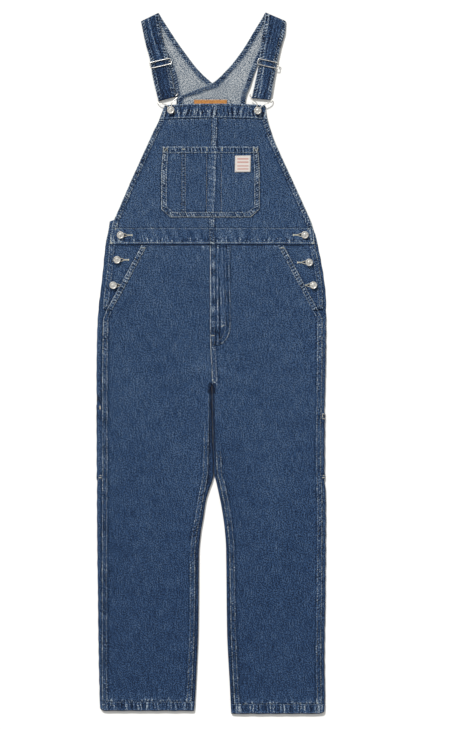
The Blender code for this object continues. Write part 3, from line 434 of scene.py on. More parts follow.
def dyed(tree, value, dyes):
    """The value as a colour, by dyes that each give a value and the sRGB colour there."""
    colour = put(tree, "ShaderNodeValToRGB", in_0=value)
    stops = colour.color_ramp.elements
    while len(stops) < len(dyes):
        stops.new(0.5)
    for stop, (at, *rgb) in zip(stops, dyes):
        stop.position, stop.color = at, srgb(*rgb)
    return colour.outputs[0]


def surfaced(tree, shader, colour, height, strength, deep):
    """Gives the shader its colour, and a relief from the height."""
    relief = put(tree, "ShaderNodeBump", in_0=strength, in_1=deep * MM, in_3=height)
    tree.links.new(colour, shader.inputs["Base Color"])
    tree.links.new(relief.outputs[0], shader.inputs["Normal"])


def twill_finish(name, dyes, shares, sheen):
    """A matt twill whose colour runs through the dyes as its per-point attribute of wash fading and painted
    shade fades or darkens it.

    The shares are how strongly its slubs, flecks and line show."""
    matt = {"Roughness": 0.88, "Specular_IOR_Level": 0.08, "Sheen_Weight": sheen, "Sheen_Roughness": 0.6}
    made, tree, shader = finish(name, **matt)
    uv, wash, uneven = coordinate(tree, "UV"), attribute(tree, "wash"), attribute(tree, "uneven")
    woven = put(tree, "ShaderNodeGroup", node_tree=twill, in_0=uv, in_1=wash, in_5=uneven)
    for socket, share in zip(woven.inputs[2:5], shares):
        socket.default_value = share
    surfaced(tree, shader, dyed(tree, woven.outputs["Tone"], dyes), woven.outputs["Height"], 1.0, TWILL_DEEP)
    return made


DENIM = twill_finish("washed_denim", INDIGO, (0.6, 1.9, 0.22), 0.02)
UNEVEN = 4.5  # how strongly specks follow the wear


def cloth(name, place, wash, wall, finishes=(DENIM,), finish_of=None, warp=None, ring=False):
    """One sheet of cloth through a grid of places on its outer face, with its wall behind.

    Its UVs are metres across and along the warp: the points' own X and Y, or measured down the
    grid where warp is "rows". finish_of gives each column of cells its finish."""
    points = np.stack(np.broadcast_arrays(*place), -1)
    wash = np.broadcast_to(wash, points.shape[:2])
    rows, columns = points.shape[:2]
    corner = np.arange(rows * columns).reshape(rows, columns)
    if ring:
        corner = np.hstack([corner, corner[:, :1]])
    cells = np.stack([corner[:-1, :-1], corner[:-1, 1:], corner[1:, 1:], corner[1:, :-1]], -1)
    cells, flat = cells.reshape(-1, 4), points.reshape(-1, 3)
    top = flat[cells[np.argmax(flat[cells][:, :, 2].mean(1))]]
    turned = np.cross(top[2] - top[0], top[3] - top[1])[2] < 0
    mesh = bpy.data.meshes.new(name)
    mesh.from_pydata((flat * MM).tolist(), [], (cells[:, ::-1] if turned else cells).tolist())
    mesh.attributes.new("wash", "FLOAT", "POINT").data.foreach_set("value", np.ravel(wash))
    uneven = abs(wash - smooth(WASH_ROWS, "tone", points[..., 1]))
    for axis in (0, 1):
        uneven = (np.roll(uneven, 1, axis) + 2 * uneven + np.roll(uneven, -1, axis)) / 4
    mesh.attributes.new("uneven", "FLOAT", "POINT").data.foreach_set("value", np.ravel(UNEVEN * uneven))
    uv = flat[:, :2] * MM
    if warp == "rows":
        steps = [np.linalg.norm(np.diff(points, axis=axis), axis=2).cumsum(axis) for axis in (1, 0)]
        across, along = np.pad(steps[0], ((0, 0), (1, 0))), np.pad(steps[1], ((1, 0), (0, 0)))
        uv = np.stack([across, along], -1).reshape(-1, 2) * MM
    corners = np.empty(len(mesh.loops), np.int32)
    mesh.loops.foreach_get("vertex_index", corners)
    mesh.uv_layers.new(name="UVMap").data.foreach_set("uv", uv[corners].ravel())
    for made in finishes:
        mesh.materials.append(made)
    if finish_of is not None:
        mesh.polygons.foreach_set("material_index", np.tile(finish_of, rows - 1))
    mesh.shade_smooth()
    piece = bpy.data.objects.new(name, mesh)
    bpy.context.scene.collection.objects.link(piece)
    shell = piece.modifiers.new("wall", "SOLIDIFY")
    shell.thickness, shell.offset = wall * MM, -1
    return piece


def lay(piece, sewn=()):
    """The sheet stands for the CAD node it is named after: hides that node and hangs the sheet under the
    root.
    """
    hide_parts(piece.name.removesuffix("_cloth"))
    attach(piece, "root")


def down(top, foot, step=3.0):
    """Places down a panel, as a column."""
    return np.linspace(top, foot, int(abs(top - foot) / step) + 1)[:, None]


FOLD_STRIP = (0.0, 0.25, 0.5, 0.75)
FOLD_ARC = np.linspace(pi / 2, -pi / 2, 9)


def turned_edge(y, edge, seam, turn):
    """(x, z) of the back panel where it turns up at a fold, from its seam round to the underside."""
    inward = np.sign(seam - edge)
    top = front_height(seam, y) + WALL
    radius = np.minimum(FOLD_RADIUS, FOLD_SHARE * abs(seam - edge))
    start, crest = seam - inward * SEAM_GAP, edge + inward * radius
    strip_x = start + (crest - start) * np.array(FOLD_STRIP)
    arc_x = edge + inward * radius * (1 - np.cos(FOLD_ARC))
    arc_z = top / 2 * (1 + np.sin(FOLD_ARC))
    wrapped_x = np.hstack([strip_x, arc_x])
    wrapped_z = np.hstack([top + 0 * strip_x, arc_z])
    steps = np.arange(wrapped_x.shape[1]) - len(FOLD_STRIP) - len(FOLD_ARC) // 2
    flat_x = edge + inward * (FLAT_STEP * np.maximum(steps, 0) + 0.03 * steps)
    clear = WALL * (1 - (1 - turn) ** 8) * (1 - turn)  # keeps the wall off the floor where the fold opens
    return flat_x + (wrapped_x - flat_x) * turn, wrapped_z * (turn + clear / top)


def side_fold(side, y):
    """The leg's side, with the slight unevenness of its fold."""
    return outer_x(side, y) - side * 0.5 * ripple(y, 34, 11 + side)


CROTCH_SQUARE = namedtuple("Square", "x y half_x half_y")(1.2, -58.5, 9.6, 12.0)
CREASE_END = 265.0  # painted shade darkens the fold between the legs down to here
CURL_Y = -83.0  # where the right side's fold is rubbed, above the tool pocket's edge


def crotch_painted_shade(x, y):
    """Painted shade in the crotch's hollow where the seams meet, from 0 to 1."""
    square = CROTCH_SQUARE
    return ramp(square.half_x - abs(x - square.x), 0, 1.6) * ramp(square.half_y - abs(y - square.y), 0, 1.6)


leg_backs = {}
for side, word in SIDES:
    y = down(WAIST_SEAM - SEAM_GAP, HEM_TOP[side] + SEAM_GAP)
    above = y >= CROTCH
    fold = np.where(above, BACK_SEAM_X + side * SEAM_GAP / 2, fold_x(side, y))
    seam_in = np.where(above, fold + side * FOLD_RADIUS, inseam_x(side, y))
    side_turn = 1 - ramp(y, SIDE_CLOSED, SIDE_OPEN)
    out_x, out_z = turned_edge(y, side_fold(side, y), edge_x(side, y), side_turn)
    in_x, in_z = turned_edge(y, fold, seam_in, ramp(-y, -CROTCH, -CROTCH_END))
    across = np.linspace(0, 1, 8)[1:-1]
    under_x = out_x[:, -1:] + (in_x[:, -1:] - out_x[:, -1:]) * across
    x = np.hstack([out_x, under_x, in_x[:, ::-1]])
    z = np.hstack([out_z, 0 * under_x, in_z[:, ::-1]])
    strip = len(FOLD_STRIP)
    for columns in (slice(1, strip + 2), slice(-strip - 2, -1)):
        z[:, columns] += 0.3 * ripple(y + 0.5 * x[:, columns], 13, 21 + side) * ramp(-y, -90, -60)
    wash = washed(x, y) - 0.03
    rope = ripple(y, 11, 31 + side)
    for at, tone in ((0, -0.2), (1, -0.12), (3, 0.05), (4, 0.08), (5, 0.06)):
        for column in (at, -1 - at):
            wash[:, column] += tone + 0.09 * rope[:, 0]
    # Painted shade in the fold between the legs, below the crotch
    between = np.arange(x.shape[1]) >= x.shape[1] - strip - 4
    wash -= between * 0.34 * ramp(-y, -CROTCH, -CROTCH_END) * (1 - 0.65 * ramp(-y, 120, CREASE_END))
    # Painted shade in the crotch's hollow
    wash -= 0.45 * crotch_painted_shade(x, y)
    if side == RIGHT:
        curl = bell(y, CURL_Y, 9) * (np.arange(x.shape[1]) < strip + 6)
        wash += curl * (1.3 * np.maximum(ripple(y + x, 7, 33), 0) - 0.4)
    leg_backs[side] = cloth(f"leg_back_{word}_cloth", (x, y, z), wash, WALL)
    lay(leg_backs[side])


# Leg fronts
# Two long panels, felled to the backs down the sides and inseams and to each other down the
# centre, where the left laps over the right. The slanted pocket openings are cut from their tops.

SLANT_TOP = 274.0
SLANT_X = {RIGHT: (-165.0, -246.0), LEFT: (170.0, 250.0)}
BEARER_LAP, BEARER_FOOT, BEARER_EASE = 16.0, 80.0, (4.0, 40.0)
LEG_ROPE = 6.8  # a felled seam's shorter puckers
INSEAM_SHOWS = {RIGHT: (125.0, 185.0), LEFT: (190.0, 225.0)}  # how far down each comes into sight

# Columns in from a sewn edge, close together where its stitches sink in
EDGE_COLUMNS = np.array(
    [0.0, 0.7, 1.3, 2.0, 2.7, 3.8, 5.2, 6.8, 8.2, 9.3, 10.0, 10.7, 11.6, 12.4, 13.4, 15.0, 17.5, 21.5, 27.0]
)


def slant_x(side, y):
    top_x, foot_x = SLANT_X[side]
    return top_x + (foot_x - top_x) * (SLANT_TOP - y) / (SLANT_TOP - SLANT_FOOT)


def front_side_x(side, y):
    """The leg front's outer edge below the slanted opening."""
    share = ramp(-y, -SLANT_FOOT, -SIDE_SEAM_TOP)
    return slant_x(side, SLANT_FOOT) * (1 - share) + edge_x(side, y) * share


def panel_x(start, end, middle, start_columns=EDGE_COLUMNS, end_columns=EDGE_COLUMNS):
    """Places across a panel in every row: close at both ends, and even between them."""
    width = abs(end - start)
    step = np.sign(end - start)
    reach = start_columns[..., -1:] + end_columns[..., -1:]
    squeeze = np.minimum(1, 0.8 * width / np.maximum(reach, 1e-6))
    first, last = start + step * start_columns * squeeze, end - step * end_columns[..., ::-1] * squeeze
    inside = np.linspace(0, 1, middle + 1)[1:-1]
    return np.hstack([first, first[:, -1:] + (last[:, :1] - first[:, -1:]) * inside, last])


def leg_front_face(side, x, y):
    """(height of the outer face, fading and painted shade) of a leg's front panel."""
    z, wash = front_height(x, y) + WALL, washed(x, y)
    from_slant = side * (slant_x(side, np.maximum(y, SLANT_FOOT)) - x)
    lap = 1 - ramp(from_slant - BEARER_LAP, *BEARER_EASE)
    z = z + (WALL + GAP) * lap * ramp(y, BEARER_FOOT, SLANT_FOOT)
    seams = (
        (side * (front_side_x(side, y) - x), ramp(-y, -SLANT_FOOT, 6 - SLANT_FOOT), 41),
        (side * (x - inseam_x(side, y)), ramp(-y, *INSEAM_SHOWS[side]), 43),
        (x - centre_x(y), ramp(y, CROTCH_END, CROTCH) * (side == LEFT), 45),
    )
    for inside, share, seed in seams:
        rise, tone = felled(inside, y, seed + side, pitch=LEG_ROPE, fade=0.27, light=0.62)
        patch = 1 + 0.4 * ripple(y, 90, seed + side + 60) + 0.4 * ramp(y, -40, 110)
        z, wash = z + rise * share, wash + tone * share * patch
    lapped = trail(abs(x - centre_x(y)), 9) * (y > CROTCH) * (side == RIGHT)
    z = z + 0.2 * ripple(y, ROPE, 46) * lapped
    # Painted shade on the right front beside the left front's seam, where it laps
    wash = wash + 0.09 * ripple(y, ROPE, 46) * lapped - 0.2 * lapped**6
    top_rope = ripple(x, 12, 47 + side) * trail(WAIST_SEAM - y, 12)
    # Painted shadow along the top, under the waistband's lower edge
    wash = wash + 0.14 * top_rope - 0.2 * bell(y, WAIST_SEAM, 2)
    wash = wash + 0.4 * np.maximum(ripple(x, 80, 48 + side), 0) * bell(y, WAIST_SEAM - 4, 1.8)
    from_hem = y - HEM_TOP[side]
    frayed = np.maximum(ripple(x + 0.3 * y, 8, 49 + side), 0) * trail(from_hem, 6.0)
    long_rope = ripple(x, 17, 49)
    # The crotch's hollow is darkened with painted shade
    wash = wash + 1.5 * frayed + 0.1 * long_rope * trail(from_hem, 16) - 0.45 * crotch_painted_shade(x, y)
    return z + 0.25 * top_rope + 0.25 * long_rope * trail(from_hem, 9), wash


leg_fronts = {}
for side, word in SIDES:
    y = down(WAIST_SEAM - SEAM_GAP, HEM_TOP[side] + SEAM_GAP)
    outside = np.where(y > SLANT_FOOT, slant_x(side, y), front_side_x(side, y))
    inside = np.where(y >= CROTCH, centre_x(y) + side * SEAM_GAP / 2, inseam_x(side, y))
    x = panel_x(outside, inside, 40)
    z, wash = leg_front_face(side, x, y)
    leg_fronts[side] = cloth(f"leg_front_{word}_cloth", (x, y, z), wash, WALL)

# Stitching: short twisted stitches end to end, and bar tacks, where they lie side by side
THREAD_HALF, THREAD_SUNK = 0.4, 0.1
STITCH_PITCH, STITCH_HALF = 4.3, 1.4
TACK_PITCH, TACK_WIDTH = 0.85, 2.6
STITCH_WORN, TACK_WORN, WORN_SPREAD = 0.5, -0.1, 0.45  # how blue the wash has left the thread

ECRU = ((0.0, 226, 217, 195), (0.25, 213, 218, 203), (0.7, 146, 154, 152), (1.0, 64, 82, 107))
PLY = 900.0  # how fine the thread's twist is

thread, tree, shader = finish("ecru_thread", Roughness=0.75, Specular_IOR_Level=0.3)
ply = put(tree, "ShaderNodeTexWave", in_0=coordinate(tree, "Object"), in_1=PLY, in_2=1.5)
blued = times(tree, plus(tree, attribute(tree, "worn"), 0.5), 1 / 1.5)
surfaced(tree, shader, dyed(tree, blued, ECRU), ply.outputs[1], 0.6, 0.1)

bpy.ops.object.select_all(action="DESELECT")
bpy.ops.mesh.primitive_uv_sphere_add(segments=6, ring_count=3, radius=1.0)
template = bpy.context.object
stitch_points = np.array([point.co[:] for point in template.data.vertices])
stitch_faces = [tuple(face.vertices) for face in template.data.polygons]
bpy.data.objects.remove(template)
trees = {}


def stitched(line, worn=STITCH_WORN, pitch=STITCH_PITCH, half=STITCH_HALF):
    """Stitches end to end along (x, y) points: rows of x, y, direction x and y, half length, worn."""
    line = np.asarray(line, float).reshape(-1, 2)
    run = np.concatenate([[0], np.linalg.norm(np.diff(line, axis=0), axis=1).cumsum()])
    count = max(int(run[-1] / pitch), 1)
    middle = (np.arange(count) + 0.5) * run[-1] / count

    def spot(at):
        return np.stack([np.interp(at, run, line[:, axis]) for axis in (0, 1)], -1)

    ahead = spot(middle + half) - spot(middle - half)
    ahead /= np.linalg.norm(ahead, axis=1)[:, None]
    return np.hstack([spot(middle), ahead, np.full((count, 1), half), np.full((count, 1), worn)])


def tacked(x, y, degrees, length, width=TACK_WIDTH, worn=TACK_WORN):
    """A bar tack's stitches, side by side along a bar."""
    along = np.array([cos(radians(degrees)), sin(radians(degrees))])
    count = max(int(length / TACK_PITCH), 2)
    places = (x, y) + along * (np.arange(count) - (count - 1) / 2)[:, None] * TACK_PITCH
    across = np.tile((-along[1], along[0], width / 2, worn), (count, 1))
    return np.hstack([places, across])


def height_on(carriers, x, y):
    """How high the topmost of the cloths is there, or None beside them all."""
    heights = []
    for piece in carriers:
        if piece.name not in trees:
            mesh = piece.data
            trees[piece.name] = BVHTree.FromPolygons(
                [point.co[:] for point in mesh.vertices], [tuple(face.vertices) for face in mesh.polygons]
            )
        hit = trees[piece.name].ray_cast(Vector((x * MM, y * MM, 0.1)), Vector((0, 0, -1)))[0]
        heights += [hit.z / MM] if hit else []
    return max(heights, default=None)


def sew(name, threads, carriers, thick=THREAD_HALF):
    """One piece of all these stitches, each laid on the cloth under both its ends."""
    points, faces, blue = [], [], []
    chance = np.random.default_rng(len(name))
    for x, y, ahead_x, ahead_y, half, worn in np.vstack(threads):
        reach = 0.7 * half
        low = height_on(carriers, x - reach * ahead_x, y - reach * ahead_y)
        high = height_on(carriers, x + reach * ahead_x, y + reach * ahead_y)
        if low is None or high is None:
            continue
        ahead = np.array([ahead_x, ahead_y, (high - low) / 2 / reach])
        ahead /= np.linalg.norm(ahead)
        across = np.array([-ahead_y, ahead_x, 0.0])
        turn = np.stack([across * thick, np.cross(ahead, across) * thick, ahead * half])
        middle = np.array([x, y, (low + high) / 2 + thick - THREAD_SUNK * 3])
        first = len(points) * len(stitch_points)
        points.append(middle + stitch_points @ turn)
        faces += [tuple(first + i for i in face) for face in stitch_faces]
        blue += [worn + WORN_SPREAD * chance.uniform(-1, 1)] * len(stitch_points)
    mesh = bpy.data.meshes.new(name)
    mesh.from_pydata((np.vstack(points) * MM).tolist(), [], faces)
    mesh.attributes.new("worn", "FLOAT", "POINT").data.foreach_set("value", blue)
    mesh.materials.append(thread)
    mesh.shade_smooth()
    piece = bpy.data.objects.new(name, mesh)
    bpy.context.scene.collection.objects.link(piece)
    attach(piece, "root")
    return piece


STITCH_IN = (2.0, SEAM_WIDTH - 2.0)  # where a sewn edge's two rows run


def edge_row(x_of, side, inside, top, foot, worn, step=4.0):
    """A row of stitches this far inside the edge that x_of gives, between two heights."""
    y = np.linspace(top, foot, max(int(abs(top - foot) / step), 2))
    return stitched(np.stack([x_of(side, y) - side * inside, y], -1), worn)


def centre_row(inside, top, foot, worn):
    """A row of stitches on the left half's lap, beside the centre seam."""
    return edge_row(lambda _, y: centre_x(y), RIGHT, inside, top, foot, worn)


for side, word in SIDES:
    threads = []
    for inside, shows in zip(STITCH_IN, (72 if side == RIGHT else 205, INSEAM_SHOWS[side][0] + 15)):
        foot = HEM_TOP[side] + 1
        threads.append(edge_row(front_side_x, side, inside, SLANT_FOOT - 2, foot, STITCH_WORN))
        threads.append(edge_row(inseam_x, side, -inside, -shows, foot, STITCH_WORN))
    rows = sew(f"leg_stitches_{word}", threads, [leg_fronts[side]])
    lay(leg_fronts[side], [rows])


# Leg hems
# Each leg's foot is turned up and stitched once, and washing has roped the turned cloth. The
# ring goes all round the leg, and its corner at the side is worn round.

HEM_WALL = 2.1
HEM_FOOT = {RIGHT: -812.0, LEFT: -819.0}
HEM_LIFT, HEM_LIFT_REACH = 6.0, 4.0
HEM_ROPE, HEM_FINE, HEM_BLOCK = 8.0, 4.4, 26.0
HEM_ARC = np.linspace(-pi / 2, pi / 2, 9)

for side, word in SIDES:
    share = np.linspace(0, 1, 14)[:, None]
    y = HEM_TOP[side] + (HEM_FOOT[side] - HEM_TOP[side]) * share
    outer, inner = outer_x(side, y), fold_x(side, y)
    start, end = outer - side * FOLD_RADIUS, inner + side * FOLD_RADIUS
    top_x = start + (end - start) * np.linspace(0, 1, 120)
    top_z = front_height(top_x, y) + HEM_WALL
    lean = 0.16 * ripple(top_x, 50, 67 + side) + 0.04
    slanted = top_x + lean * (y - HEM_TOP[side])
    rope, fine = ripple(slanted, HEM_ROPE, 61 + side), ripple(slanted, HEM_FINE, 63 + side)
    block = ripple(slanted, HEM_BLOCK, 69 + side)
    top_z += (0.4 * rope - 0.12) * np.sin(pi * share) - 0.9 * rolled(1 - share, 0.1)
    bent = FOLD_RADIUS * (1 - np.cos(HEM_ARC))
    x = np.hstack([outer - side * bent, top_x[:, 1:-1], inner + side * bent[::-1]])
    lift = (1 + np.sin(HEM_ARC)) / 2
    z = np.hstack([top_z[:, :1] * lift, top_z[:, 1:-1], top_z[:, -1:] * lift[::-1]])
    under_x = end + (start - end) * np.linspace(0, 1, 12)[1:-1]
    x, z = np.hstack([x, under_x]), np.hstack([z, 0 * under_x])
    corner = trail(abs(x - outer), HEM_LIFT_REACH)
    y_grid = y + HEM_LIFT * share * corner + 0.5 * ripple(x, 40, 65 + side) * share
    wash = washed(x, y) + 0.02
    middle = slice(len(HEM_ARC), len(HEM_ARC) + top_x.shape[1] - 2)
    worn = 0.35 + 0.65 * np.sin(pi * np.clip(share * 1.15, 0, 1))
    wash[:, middle] += ((0.8 * np.maximum(rope, 0) ** 0.8 + 0.4 * fine + 0.16 * block - 0.17) * worn)[:, 1:-1]
    wash += 0.2 * bell(share, 0.86, 0.07) - 0.4 * bell(share, 1.0, 0.07) + 0.1 * corner
    for inside, seed in ((side * (edge_x(side, y) - x), 41), (side * (x - inseam_x(side, y)), 43)):
        across = (inside > 0) & (inside < SEAM_WIDTH) & (z > 3)
        wash += across * (0.06 + 0.3 * ripple(y + x, 5, seed))
    hem = cloth(f"leg_hem_{word}_cloth", (x, y_grid, z), wash, HEM_WALL, ring=True)
    inside_top = HEM_TOP[side] - 1.6
    across = np.linspace(outer_x(side, inside_top) - side * 3, fold_x(side, inside_top) + side * 3, 60)
    line = np.stack([across, inside_top + 0.5 * ripple(across, 30, 67)], -1)
    threads = [stitched(line, 0.55)]
    for inside in STITCH_IN:
        for x_of, inward in ((edge_x, inside), (inseam_x, -inside)):
            threads.append(edge_row(x_of, side, inward, HEM_TOP[side] - 3, HEM_FOOT[side] + 4, 0.75))
    lay(hem, [sew(f"hem_stitches_{word}", threads, [hem])])


# Slanted hip pockets
# A pocket bearer of the same denim fills each side opening's corner and carries two buttonholes.
# The leg's front lies over it, and its slanted edge is turned under and stitched twice.

BEARER_HEM = (165.0, 205.0)
SLANT_BAND, TRIM_WALL, CHORD = 13.5, 1.0, 0.2
SLANT_COS = 0.88  # how much shorter square across the slanted edge is than along a row
SIDE_BUTTONS = {
    RIGHT: ((-212.7, 300.0), (-220.7, 242.4), (-229.8, 182.8)),
    LEFT: ((218.3, 300.5), (228.4, 236.3), (238.0, 183.0)),
}
# How far in from its button a buttonhole starts, closes up and ends, and its half widths
HOLE_START, HOLE_MEET, HOLE_END, HOLE_SLACK = 5.0, 17.0, 27.0, (3.7, 0.8)


def buttonhole_shade(side, x, y):
    """Painted shade in the buttonholes' open gaps, from 0 to 1."""
    total = 0.0
    for button_x, button_y in SIDE_BUTTONS[side]:
        inward = side * (button_x - x)
        half = np.interp(inward, (HOLE_START, HOLE_MEET), HOLE_SLACK)
        on = banded(inward, HOLE_START - 3, HOLE_START, HOLE_MEET - 2, HOLE_MEET + 2)
        total = total + on * bell(y, button_y, half)
    return total


bearers, lips = {}, {}
for side, word in SIDES:
    y = down(WAIST_SEAM - SEAM_GAP, SLANT_FOOT + 4, 1.6)
    outside, inside = edge_x(side, y), slant_x(side, y) - side * BEARER_LAP
    x = panel_x(outside, inside, 22, end_columns=np.array([0.0, 3.0]))
    rise, tone = felled(abs(x - outside), y, 71 + side, fade=0.16, light=0.5)
    z = front_height(x, y) + WALL + rise * ramp(y, *BEARER_HEM)
    # Painted shade in the buttonholes' gaps and just under the waistband's edge
    wash = washed(x, y) + tone - 0.45 * buttonhole_shade(side, x, y) - 0.12 * bell(y, WAIST_SEAM, 5)
    from_lip = side * (x - slant_x(side, y)) * SLANT_COS
    # Painted shade on the bearer just beside the pocket's lip
    wash += 0.06 * ripple(x + y, 22, 73) - 0.3 * trail(from_lip, 2.0)
    bearers[side] = cloth(f"pocket_bearer_{word}_cloth", (x, y, z), wash, WALL)
    threads = [edge_row(edge_x, side, inside, WAIST_SEAM - 3, 130, 0.65) for inside in STITCH_IN]
    threads += [edge_row(edge_x, side, inside, 149, 134, 0.2) for inside in (2.0, 7.6)]
    for height in (149.0, 134.0):
        threads.append(tacked(edge_x(side, height) - side * 4.8, height, 0, 5.6, 1.6, 0.3))
    rows = sew(f"bearer_stitches_{word}", threads, [bearers[side]])
    lay(bearers[side], [rows])

    y = down(WAIST_SEAM - SEAM_GAP, SLANT_FOOT, 1.6)
    outside = slant_x(side, y) - side * SEAM_GAP
    x = outside - side * SLANT_BAND * np.linspace(0, 1, 17)
    across = abs(x - outside) * SLANT_COS
    band = SLANT_BAND * SLANT_COS
    rise, tone = felled(across, y, 75 + side, width=band, rise=0.0, pitch=6.5, fade=0.55, light=0.65)
    edge_roll = 0.5 * rolled(band - across, 1.2)
    z = leg_front_face(side, x, y)[0] + GAP + CHORD + TRIM_WALL + rise - edge_roll
    # Painted shade just under the waistband's edge
    wash = washed(x, y) + tone - 0.1 * bell(y, WAIST_SEAM, 5)
    lips[side] = cloth(f"pocket_edge_{word}_cloth", (x, y, z), wash, TRIM_WALL)
    threads = []
    for inside in (2.2, SLANT_BAND - 2.2):
        row = edge_row(slant_x, side, SEAM_GAP + inside, WAIST_SEAM - 5, SLANT_FOOT + 1, 0.25)
        threads.append(row)
    top = WAIST_SEAM - 7
    threads.append(tacked(slant_x(side, top) - side * 7, top, 0, 12, 2.0))
    rows = sew(f"pocket_edge_stitches_{word}", threads, [lips[side]])
    lay(lips[side], [rows])


# Mock fly
# A facing sewn on the left front beside the centre seam: straight down, then curved in to the
# seam. Its two rows run inside its edge, and bar tacks hold the curve.

# Its width above its bend and at its tip, the heights of foot and bend, and how full the curve is
FLY_WIDTH, FLY_TIP, FLY_FOOT, FLY_BEND, FLY_POWER = 48.5, 17.0, 43.0, 95.0, 2.2
FLY_ROWS = (2.6, 12.0)


def fly_edge(y, inset=0.0):
    """The fly's width at y, or that of a line this far inside its edge."""
    curve = np.clip((FLY_BEND - y) / (FLY_BEND - FLY_FOOT - inset), 0, 1)
    width = FLY_WIDTH - inset
    return FLY_TIP + (width - FLY_TIP) * np.sqrt(1 - curve**FLY_POWER)


y = np.vstack([down(WAIST_SEAM - SEAM_GAP, FLY_BEND, 2.0), down(FLY_BEND - 1.5, FLY_FOOT, 1.5)])
start = centre_x(y) + SEAM_GAP
x = start + fly_edge(y) * np.linspace(0, 1, 40)
z = leg_front_face(LEFT, x, y)[0] + GAP + CHORD + TRIM_WALL
from_start, from_edge = x - start, fly_edge(y) + start - x
streak = ripple(x + 0.04 * y, 7, 81) * (0.5 + 0.5 * ripple(y, 60, 83))
rope = ripple(y + 0.4 * x, ROPE, 85)
z += 0.22 * rope * bell(from_start, 6, 5) - 0.5 * rolled(from_edge, 1.5)
z += 0.25 * streak - 0.15 * grooved(from_edge, FLY_ROWS)
fine = ripple(x + 0.02 * y, 3.4, 84) * (0.5 + 0.5 * ripple(y, 24, 86)) * bell(from_start, 10, 12)
wash = washed(x, y) + 0.02 + 0.42 * streak + 0.34 * fine + 0.3 * bell(from_start, 8, 6) * ripple(y, 34, 87)
wash += 0.16 * rope * bell(from_start, 5, 4) + 0.52 * bell(from_start, 0.9, 1.2)
wash += 0.09 * banded(from_start, 1.5, 3.5, 11.5, 13.5) * (0.3 + 1.2 * ripple(y, 52, 82))
wash += 0.6 * bell(from_start, 18.0, 1.5) * (0.6 + 0.5 * ripple(y, 44, 89)) - 0.1 * bell(from_edge, 7, 4)
wash -= 0.22 * bell(from_start, 3.0, 0.9) + 0.2 * bell(from_start, 14.5, 2.0)
# Painted shade beside the fly's fold and just under the waistband's edge
wash -= 0.3 * bell(from_start, 21.5, 2.2) + 0.2 * bell(y, WAIST_SEAM, 5)
wash -= 0.16 * ramp(-y, -95, -80) * (from_edge > 14)
wash += 0.4 * bell(from_edge, 1.2, 1.3) * ramp(-y, -100, -88) + 0.2 * ripple(y, 6, 88) * bell(from_edge, 7, 5)
fly = cloth("fly_cloth", (x, y, z), wash, TRIM_WALL)

threads = []
for inset in FLY_ROWS:
    for top, foot, worn in ((WAIST_SEAM - 3, 98, 0.85), (97, FLY_FOOT + inset + 0.5, 0.35)):
        row = edge_row(lambda _, y: centre_x(y) + SEAM_GAP + fly_edge(y, inset), LEFT, 0, top, foot, worn, 2)
        threads.append(row)
for inside, worn in zip(STITCH_IN, (0.35, 0.7)):
    threads.append(centre_row(inside, WAIST_SEAM - 3, CROTCH + 3, worn))
threads.append(stitched([(-1, 97.1), (40, 97.1)], 0.6))
threads += [tacked(26.4, 88, 35, 8), tacked(2.5, 65.3, 0, 9), tacked(1, -38, 0, 7)]
rows = sew("fly_stitches", threads, [fly, leg_fronts[LEFT]])
lay(fly, [rows])


# Waistband
# A doubled band, stitched along its top to the bib and along its foot to the legs. Its front
# halves lap at the centre with the bib's, and its back runs straight across underneath.

WAIST_WALL = 1.8
WAIST_STEP = (283.0, 303.0)
WAIST_ROWS = (315.0, 282.2)

waistbands = {}
for side, word in SIDES:
    y = down(WAIST_TOP - 0.05, WAIST_SEAM, 1.2)
    start, end = centre_x(y) + side * SEAM_GAP / 2, edge_x(side, y)
    x = panel_x(start, end, 62)
    step = 1 - ramp(y, *WAIST_STEP)
    lap, lap_tone = felled(x - centre_x(y), y, 45 + LEFT) if side == LEFT else (0.0, 0.0)
    lean = 0.5 * ripple(x, 70, 91)
    rope = ripple(x + lean * (y - WAIST_SEAM), 8.2, 93 + side)
    fine = ripple(x - 0.3 * y, 5, 95 + side)
    low = bell(y, 288.5, 5.5)
    z = front_height(x, y) + WAIST_WALL + step + lap + 0.3 * rope * low
    z -= 0.2 * grooved(y, WAIST_ROWS) + 0.7 * rolled(y - WAIST_SEAM, 1.8)
    inside = side * (end - x)
    worn = bell(inside, 6, 7)
    square = np.clip(1.4 - 0.14 * abs(abs(inside - 6) + abs(y - 297) / 2.2 - 7), 0, 1)
    wisps = np.maximum(ripple(x + lean * (y - WAIST_SEAM), 6.5, 92 + side), 0) ** 1.5
    wash = washed(x, y) + lap_tone + (0.38 * rope + 0.26 * fine + 0.6 * wisps - 0.12) * low
    wash += worn * (0.4 * ripple(x + 0.15 * y, 6, 97) + 0.16 * square) + 0.1 * ripple(x + 0.4 * y, 26, 99)
    # Painted shade along the band's lower edge
    wash += 0.2 * bell(y, WAIST_ROWS[1] + 0.6, 1.4) - 0.5 * bell(y, WAIST_SEAM + 0.9, 1.3)
    # Painted shade in the buttonholes' gaps
    wash += 0.1 * bell(y, WAIST_TOP, 1.5) - 0.45 * buttonhole_shade(side, x, y) + 0.3 * bell(inside, 0.9, 1.2)
    # Painted shade on the right half beside the left half's lapped edge
    if side == RIGHT:
        wash -= 0.3 * trail(abs(x - start), 1.6)
    waistbands[side] = cloth(f"waistband_front_{word}_cloth", (x, y, z), wash, WAIST_WALL)

